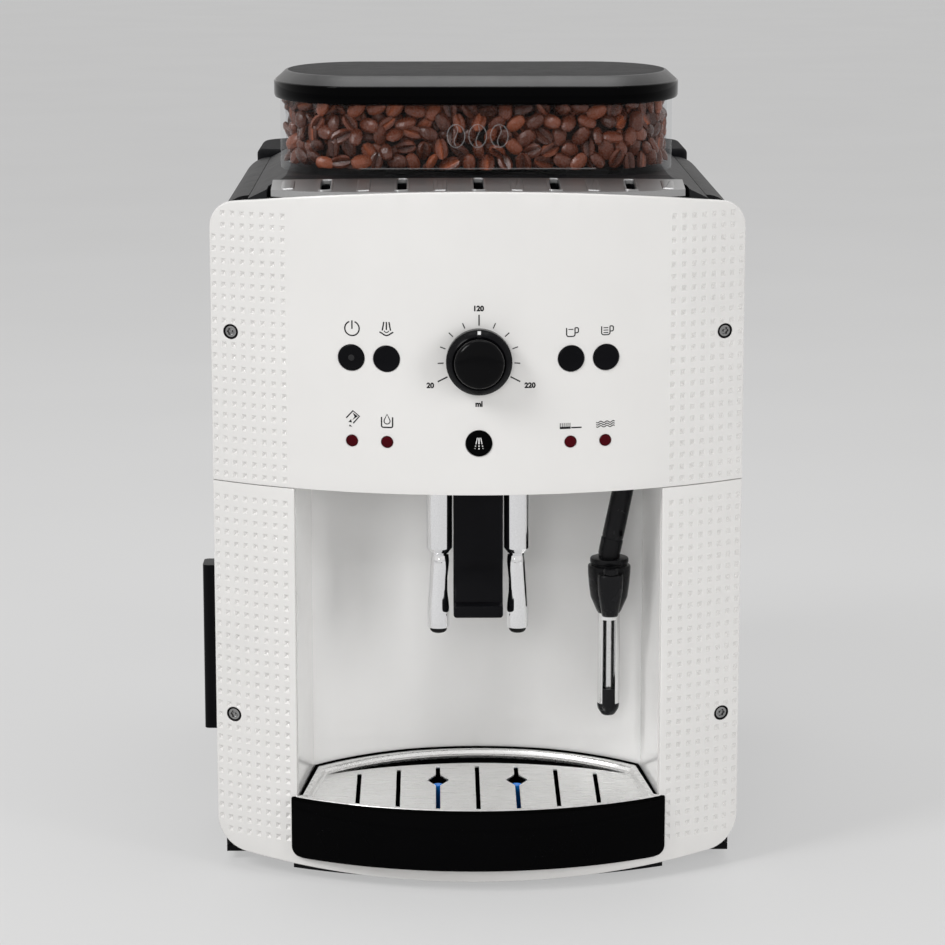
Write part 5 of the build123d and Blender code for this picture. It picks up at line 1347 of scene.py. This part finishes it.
def sleeve(x, y, low, high, radius, tip_foot):
    """A steel tube with a window in its front, and the black tip whose tongue closes the window's foot."""
    tongue = low + TONGUE_RISE
    gap = math.asin(WINDOW_HALF / radius)

    def band(start, end, steps, outer, inner):
        """Plan of a curved wall between two angles and two radii."""
        angle = np.linspace(start, end, steps)
        line = np.stack([np.cos(angle), np.sin(angle)], -1)
        return np.vstack([line * outer, line[::-1] * inner])

    def column(section, heights):
        return loft([upright(section + (x, y), z) for z in heights])

    front = -math.pi / 2
    wall = band(front + gap, 1.5 * math.pi - gap, 44, radius, radius - SLEEVE_WALL)
    bridge = band(front - gap, front + gap, 8, radius, radius - SLEEVE_WALL)
    steel = join(column(wall, (low, tongue - 6.2, high - 1.8, high)), column(bridge, (high - 3.0, high)))
    piece("froth_sleeve", steel, "sleeve_steel", "sleeve", ["wand_sleeve"], sharp=35)
    tip = [(3.0, low + 0.6), (radius - 0.75, low + 0.6), (radius - 0.75, low), (radius - 0.05, low - 0.05),
           (radius - 0.05, low - 1.2), (radius - 0.35, low - 2.8), (radius - 1.1, low - 4.2),
           (radius - 2.1, tip_foot + 0.25), (radius - 2.6, tip_foot), (2.75, tip_foot), (2.7, tip_foot + 1)]
    cap = turned(tip + tip[:1], 48, (x, y))
    section = band(front - gap, front + gap, 8, radius + 0.02, radius - 1.5) * TONGUE_NARROW
    rows = ((low - 0.5, 1.0), (tongue - 0.8, 1.0), (tongue - 0.2, 0.93), (tongue, 0.8))
    strip = loft([upright(section * (s, 1.0) + (x, y), z) for z, s in rows])
    piece("froth_tip", join(cap, strip), "wand_black", "sleeve", ["wand_tip"], sharp=35)


# Drip tray

TRAY_LAP, TRAY_DROP = 3.4, 24.2         # lap over the columns, and how far the front's ends stand back
TRAY_STEPS, TRAY_RISE, LIP_RISE = 40, 3.0, 3.8
RISE_START, RISE_RUN = 14.0, 70.0       # depth where the rim starts to climb, and the run of its climb
TRAY_NECK_INSET, TRAY_REAR = 6.0, 62.0  # the rear bow starts this far in and this deep
TRAY_ROUND = 5.0                        # rounding of the front's lower corners
# The lip and the bowl's edge: distance inwards from the plan, and height under the top.
LIP_SECTION = ((0.0, 1.0), (0.0, 0.1), (0.3, -0.4), (0.7, -0.5), (1.2, -0.45), (1.5, 0.2), (1.5, 1.0),
               (0.0, 1.0))
BOWL_EDGE = ((0, 0.9), (0.2, 0.5), (1.3, 0.5), (2.0, 2.5))


def tray_loop(shrink=0.0, narrow=0.0):
    """Plan of the tray: the bow of its front, which laps over the columns, its sides and the bowed back."""
    low, high = span("drip_tray")
    nose, back = low[1] + shrink, high[1] - shrink
    wide = high[0] + TRAY_LAP
    bow = bow_radius(wide, TRAY_DROP)
    front_x = np.linspace(narrow + shrink - wide, wide - narrow - shrink, TRAY_STEPS)
    front = np.stack([front_x, nose + bow - np.sqrt(bow**2 - front_x**2)], -1)
    neck = high[0] - narrow - shrink
    rear_half = neck - TRAY_NECK_INSET
    rear_bow = bow_radius(rear_half, back - TRAY_REAR + shrink)
    rear_x = np.linspace(rear_half, -rear_half, TRAY_STEPS)
    rear = np.stack([rear_x, back - rear_bow + np.sqrt(rear_bow**2 - rear_x**2)], -1)
    step = front[-1, 1] + 0.3
    return np.vstack([front, [(neck, step)], rear, [(-neck, step)]])


def risen(loop, z, rise=TRAY_RISE):
    """A level that climbs towards the back, so that the rear of the rim stands a little higher."""
    return upright(loop, z + rise * np.clip((loop[:, 1] - RISE_START) / RISE_RUN, 0, 1))


def tray():
    """Black tray: a glossy front whose lower corners are quarter rounds, and a dull lip on its edge."""
    low, high = span("drip_tray")
    foot, top = low[2], high[2] + 0.5
    rows = [upright(tray_loop(0.6, TRAY_ROUND), foot)]
    for z in np.linspace(0, TRAY_ROUND, 8):
        narrow = TRAY_ROUND - math.sqrt(TRAY_ROUND**2 - (TRAY_ROUND - z) ** 2)
        rows.append(upright(tray_loop(0.3 if z < 0.5 else 0.0, narrow), foot + z))
    rows += [risen(tray_loop(d), top - z, LIP_RISE) for d, z in BOWL_EDGE]
    rows.append(upright(tray_loop(2.0), foot + 2.0))
    piece("tray_bowl", loft(rows), "black_gloss", "tray", ["drip_tray"], sharp=30)
    lip = sheet(np.array([risen(tray_loop(d), top - z, LIP_RISE) for d, z in LIP_SECTION]), wrap_v=True)
    piece("tray_lip", lip, "deep_black", "tray", sharp=50)


TRAY_SLOTS, TRAY_PITCH, TRAY_SLOT, FLOAT_PLACE = 7, 18.7, 2.1, 50.0
SLOT_FRONTS, SLOT_BACKS = (2.5, 3.5, 6.0, 10.5), (71.5, 70.0, 66.0, 59.5)    # from the middle slot outwards
DIAMOND = ((TRAY_SLOT / 2, -8.0, 2.0), (5.4, 0.0, 1.6), (TRAY_SLOT / 2, 8.0, 2.0))     # x, y and radius
PLATE_DROP, PLATE_WALL, PLATE_DISH = 2.6, 1.2, 0.9
# How much further the plate's rear edge bows than the rim, over which half width and by which power.
CHANNEL_BOW, CHANNEL_HALF, CHANNEL_POWER = 9.0, 73.0, 2.4


def grid_slots():
    """Slots from front to back, shorter towards the sides, two of them with a diamond over the float."""
    slots = []
    for index in range(TRAY_SLOTS):
        x, aside, half = (index - 3) * TRAY_PITCH, abs(index - 3), TRAY_SLOT / 2
        front, back = SLOT_FRONTS[aside], SLOT_BACKS[aside]
        diamond = DIAMOND if aside == 1 else ()
        right = [(x + dx, FLOAT_PLACE + dy) for dx, dy, r in diamond]
        left = [(x - dx, FLOAT_PLACE + dy) for dx, dy, r in diamond[::-1]]
        bends = [r for dx, dy, r in diamond]
        corners = [(x - half, front), (x + half, front), *right, (x + half, back), (x - half, back), *left]
        slots.append(outline(corners, [0.5, 0.5, *bends, 0.5, 0.5, *bends], 5))
    return slots


def drip_grid():
    """Steel grid: a raised rim, a groove behind the plate over a dull black slab of painted shade, and a
    dished plate with slots and two diamonds.
    """
    low, high = span("drip_grid")
    foot, top = low[2] + 1.2, high[2]
    plate = top - PLATE_DROP
    under = plate - PLATE_WALL
    rows = [(1.6, foot), (1.5, top - 0.5), (1.7, top - 0.12), (2.2, top), (3.6, top), (4.1, top - 0.15),
            (4.5, top - 0.6), (4.9, plate + 0.6), (5.4, plate + 0.15), (5.9, plate), (5.9, under),
            (3.8, under), (3.0, top - 1.4), (2.6, top - 1.6), (2.6, foot), (1.6, foot)]
    rim = sheet(np.array([risen(tray_loop(d), z) for d, z in rows]), wrap_v=True)
    edge = tray_loop(5.7)
    rear = slice(TRAY_STEPS + 1, 2 * TRAY_STEPS + 1)
    bow = 1 - (np.abs(edge[rear, 0]) / CHANNEL_HALF) ** CHANNEL_POWER
    edge[rear, 1] -= CHANNEL_BOW * np.clip(bow, 0, 1)
    slots = grid_slots()
    plan, triangles = net([edge] + slots, spacing=5.0)

    def lay(flat, drop):
        """The plate sinks a little towards its middle, as one minus the square of x."""
        dish = PLATE_DISH * np.clip(1 - (flat[:, 0] / BAY_HALF) ** 2, 0, 1)
        return risen(flat, plate - dish - drop)

    # A dull black slab under the gap behind the plate: painted shade that makes the groove look deep.
    behind, before = tray_loop(5.0)[rear], edge[rear] - (0.0, 2.0)
    strip = loft([np.vstack([risen(behind, plate - z), risen(before, plate - z)[::-1]]) for z in (1.4, 3.0)])
    piece("channel_shade", strip, "deep_black", "grid")
    shapes = [rim, (lay(plan, 0.0), [triangles]), (lay(plan, PLATE_WALL), [triangles[:, ::-1]]),
              sheet(np.array([lay(edge, 0.0), lay(edge, PLATE_WALL)]), wrap_v=True)]
    for loop in slots:
        rows = ((-0.45, -0.01), (-0.1, 0.12), (0.0, 0.4), (0.0, PLATE_WALL))
        shapes.append(sheet(np.array([lay(inset(loop, d), drop) for d, drop in rows]), wrap_v=True))
    piece("drip_plate", join(*shapes), "tray_steel", "grid", ["drip_grid"], sharp=28)


# Finishes of the CAD nodes that stay

OTHER_FINISH = {"tank_lid": "matt_black"}


def dress_nodes():
    """Give each CAD node the finish of its slot, or another of the same colour."""
    for node, obj in frame["nodes"].items():
        obj.data.materials.clear()
        obj.data.materials.append(FINISH[OTHER_FINISH.get(node, NODE_SLOT[node])])


# Stage

def seen_rays(tree):
    """One for camera, transmission and glossy rays, nought for the rays that carry light."""
    path = tree.nodes.new("ShaderNodeLightPath")
    seen = path.outputs["Is Camera Ray"]
    for ray in ("Is Transmission Ray", "Is Glossy Ray"):
        rays = tree.nodes.new("ShaderNodeMath")
        rays.operation = "MAXIMUM"
        tree.links.new(seen, rays.inputs[0])
        tree.links.new(path.outputs[ray], rays.inputs[1])
        seen = rays.outputs[0]
    return seen


FLOOR_REACH = 40.0
AIM = (0.0, 0.0, 0.18)                  # where the lights point, in metres
EYE = (-19.45, -1377.5, 463.4)          # the camera, from the machine's own origin
EYE_TURN, EYE_PITCH = 0.0120, 0.1795    # radians to the right and down
LENS_LENGTH, LENS_SHIFT = 118.8, -0.04


def make_floor():
    """Pale, faintly clouded floor that glows to the rays that see it, and casts no light of its own."""
    mesh = bpy.data.meshes.new("floor")
    corners = np.array([(-1, -1, 0), (1, -1, 0), (1, 1, 0), (-1, 1, 0)]) * FLOOR_REACH
    mesh.from_pydata(corners.tolist(), [], [(0, 1, 2, 3)])
    floor = bpy.data.objects.new("floor", mesh)
    bpy.context.scene.collection.objects.link(floor)
    material, tree, shader, place = new_finish("floor")
    dark, light = tinted(tuple(bpy.context.scene.machine_stage.floor_colour), 0.01)
    cloud = ramp(tree, noise(tree, place, 300.0), [(0.3, light), (0.7, dark)])
    tree.links.new(cloud, shader.inputs["Base Color"])
    shader.inputs["Roughness"].default_value = 0.7
    glow = tree.nodes.new("ShaderNodeEmission")
    tree.links.new(cloud, glow.inputs["Color"])
    glow.inputs["Strength"].default_value = 1.1
    mix = tree.nodes.new("ShaderNodeMixShader")
    tree.links.new(between(tree, seen_rays(tree), 0.0, 0.6), mix.inputs["Fac"])
    mixed(tree, mix, shader, glow)
    mesh.materials.append(material)


def make_world():
    """Surroundings that look brighter than the light that they cast."""
    world = bpy.data.worlds.new("studio")
    bpy.context.scene.world = world
    world.use_nodes = True
    tree = world.node_tree
    back = tree.nodes["Background"]
    back.inputs["Color"].default_value = (0.97, 0.96, 0.95, 1.0)
    tree.links.new(between(tree, seen_rays(tree), 0.3, 0.8), back.inputs["Strength"])


# Each light: its place and size in metres, its share of the key's power, and whether gloss shows it.
LIGHTS = {
    "key_light": ((-1.4, -1.1, 1.6), (0.6, 0.9), 1.0, True),
    "fill_light": ((1.6, -1.3, 0.6), (0.5, 1.3), 0.62, False),
    "top_light": ((0.0, 0.3, 1.9), (1.4, 1.0), 0.45, True),
    "front_light": ((-0.3, -2.0, 0.7), (0.5, 0.5), 0.2, False),
}


def make_lights():
    """Soft rectangular lights that point at the machine."""
    for name, (where, size, share, glossy) in LIGHTS.items():
        data = bpy.data.lights.new(name, "AREA")
        data.shape, data.size, data.size_y = "RECTANGLE", *size
        data.energy = bpy.context.scene.machine_stage.key_power * share
        light = bpy.data.objects.new(name, data)
        light.location = where
        light.rotation_euler = (Vector(AIM) - light.location).to_track_quat("-Z", "Y").to_euler()
        light.visible_glossy = glossy
        bpy.context.scene.collection.objects.link(light)


def make_camera():
    """A long lens at the photograph's angle."""
    scene = bpy.context.scene
    data = bpy.data.cameras.new("camera")
    data.sensor_width, data.lens, data.shift_y = 36.0, LENS_LENGTH, LENS_SHIFT
    camera = bpy.data.objects.new("camera", data)
    camera.location = np.array(EYE) * MM + ORIGIN
    ahead = Vector((math.sin(EYE_TURN) * math.cos(EYE_PITCH), math.cos(EYE_TURN) * math.cos(EYE_PITCH),
                    -math.sin(EYE_PITCH)))
    camera.rotation_euler = ahead.to_track_quat("-Z", "Y").to_euler()
    scene.collection.objects.link(camera)
    scene.camera = camera


def make_stage():
    """Floor, surroundings, lights and camera."""
    bpy.context.scene.view_settings.view_transform = "Standard"
    make_floor()
    make_world()
    make_lights()
    make_camera()


# Operators

class BuildStage(bpy.types.Operator):
    """Add the floor, lights and camera"""
    bl_idname = "machine.stage"
    bl_label = "Stage"

    def execute(self, context):
        make_stage()
        return {"FINISHED"}


class DressNodes(bpy.types.Operator):
    """Give the pieces that stay from the frame their finishes"""
    bl_idname = "machine.dress"
    bl_label = "Finishes"

    def execute(self, context):
        FINISH.update(make_finishes())
        dress_nodes()
        return {"FINISHED"}


class BuildFront(bpy.types.Operator):
    """Build the dimpled upper panel and the columns beside the cup bay"""
    bl_idname = "machine.front"
    bl_label = "Front"

    def execute(self, context):
        front_panels()
        screws()
        return {"FINISHED"}


class BuildMarks(bpy.types.Operator):
    """Print the symbols and the dial's scale on the front"""
    bl_idname = "machine.marks"
    bl_label = "Printed marks"

    def execute(self, context):
        legends()
        return {"FINISHED"}


class BuildControls(bpy.types.Operator):
    """Build the buttons, lamps and volume dial"""
    bl_idname = "machine.controls"
    bl_label = "Controls"

    def execute(self, context):
        buttons()
        lamps()
        dial()
        return {"FINISHED"}


class BuildHopper(bpy.types.Operator):
    """Build the clear hopper and its lid"""
    bl_idname = "machine.hopper"
    bl_label = "Hopper and lid"

    def execute(self, context):
        lid()
        window_marks()
        return {"FINISHED"}


class BuildBeans(bpy.types.Operator):
    """Fill the hopper with coffee beans"""
    bl_idname = "machine.beans"
    bl_label = "Coffee beans"

    def execute(self, context):
        beans()
        return {"FINISHED"}


class BuildGrille(bpy.types.Operator):
    """Build the slotted cup rest behind the top edge"""
    bl_idname = "machine.grille"
    bl_label = "Cup grille"

    def execute(self, context):
        grille()
        return {"FINISHED"}


class BuildOutlet(bpy.types.Operator):
    """Build the coffee tubes, spouts and the grip between them"""
    bl_idname = "machine.outlet"
    bl_label = "Coffee outlet"

    def execute(self, context):
        outlet()
        return {"FINISHED"}


class BuildWand(bpy.types.Operator):
    """Build the steam wand with its frothing sleeve"""
    bl_idname = "machine.wand"
    bl_label = "Steam wand"

    def execute(self, context):
        wand()
        return {"FINISHED"}


class BuildTray(bpy.types.Operator):
    """Build the drip tray and its steel grid"""
    bl_idname = "machine.tray"
    bl_label = "Drip tray"

    def execute(self, context):
        tray()
        drip_grid()
        return {"FINISHED"}


OPERATORS = (BuildStage, DressNodes, BuildFront, BuildMarks, BuildControls, BuildHopper, BuildBeans,
             BuildGrille, BuildOutlet, BuildWand, BuildTray)
SETTINGS = {
    "machine_front": FrontSettings,
    "machine_hopper": HopperSettings,
    "machine_dial": DialSettings,
    "machine_stage": StageSettings,
}


class MachinePanel(bpy.types.Panel):
    """Lists the builders and their settings"""
    bl_idname = "VIEW3D_PT_machine"
    bl_label = "Coffee machine"
    bl_space_type = "VIEW_3D"
    bl_region_type = "UI"
    bl_category = "Machine"

    def draw(self, context):
        for operator in OPERATORS:
            self.layout.operator(operator.bl_idname)
        for name, group in SETTINGS.items():
            box = self.layout.box()
            box.label(text=name.replace("_", " "))
            for prop in group.__annotations__:
                box.prop(getattr(context.scene, name), prop)


def register():
    """Add the settings to every scene, and the operators and the panel to Blender."""
    for group in SETTINGS.values():
        bpy.utils.register_class(group)
    for name, group in SETTINGS.items():
        setattr(bpy.types.Scene, name, PointerProperty(type=group))
    for operator in OPERATORS:
        bpy.utils.register_class(operator)
    bpy.utils.register_class(MachinePanel)


def unregister():
    """Take out what register added, in reverse."""
    bpy.utils.unregister_class(MachinePanel)
    for operator in reversed(OPERATORS):
        bpy.utils.unregister_class(operator)
    for name, group in SETTINGS.items():
        delattr(bpy.types.Scene, name)
        bpy.utils.unregister_class(group)


def main():
    register()
    for operator in OPERATORS:
        family, call = operator.bl_idname.split(".")
        getattr(getattr(bpy.ops, family), call)()


if __name__ == "__main__":
    main()
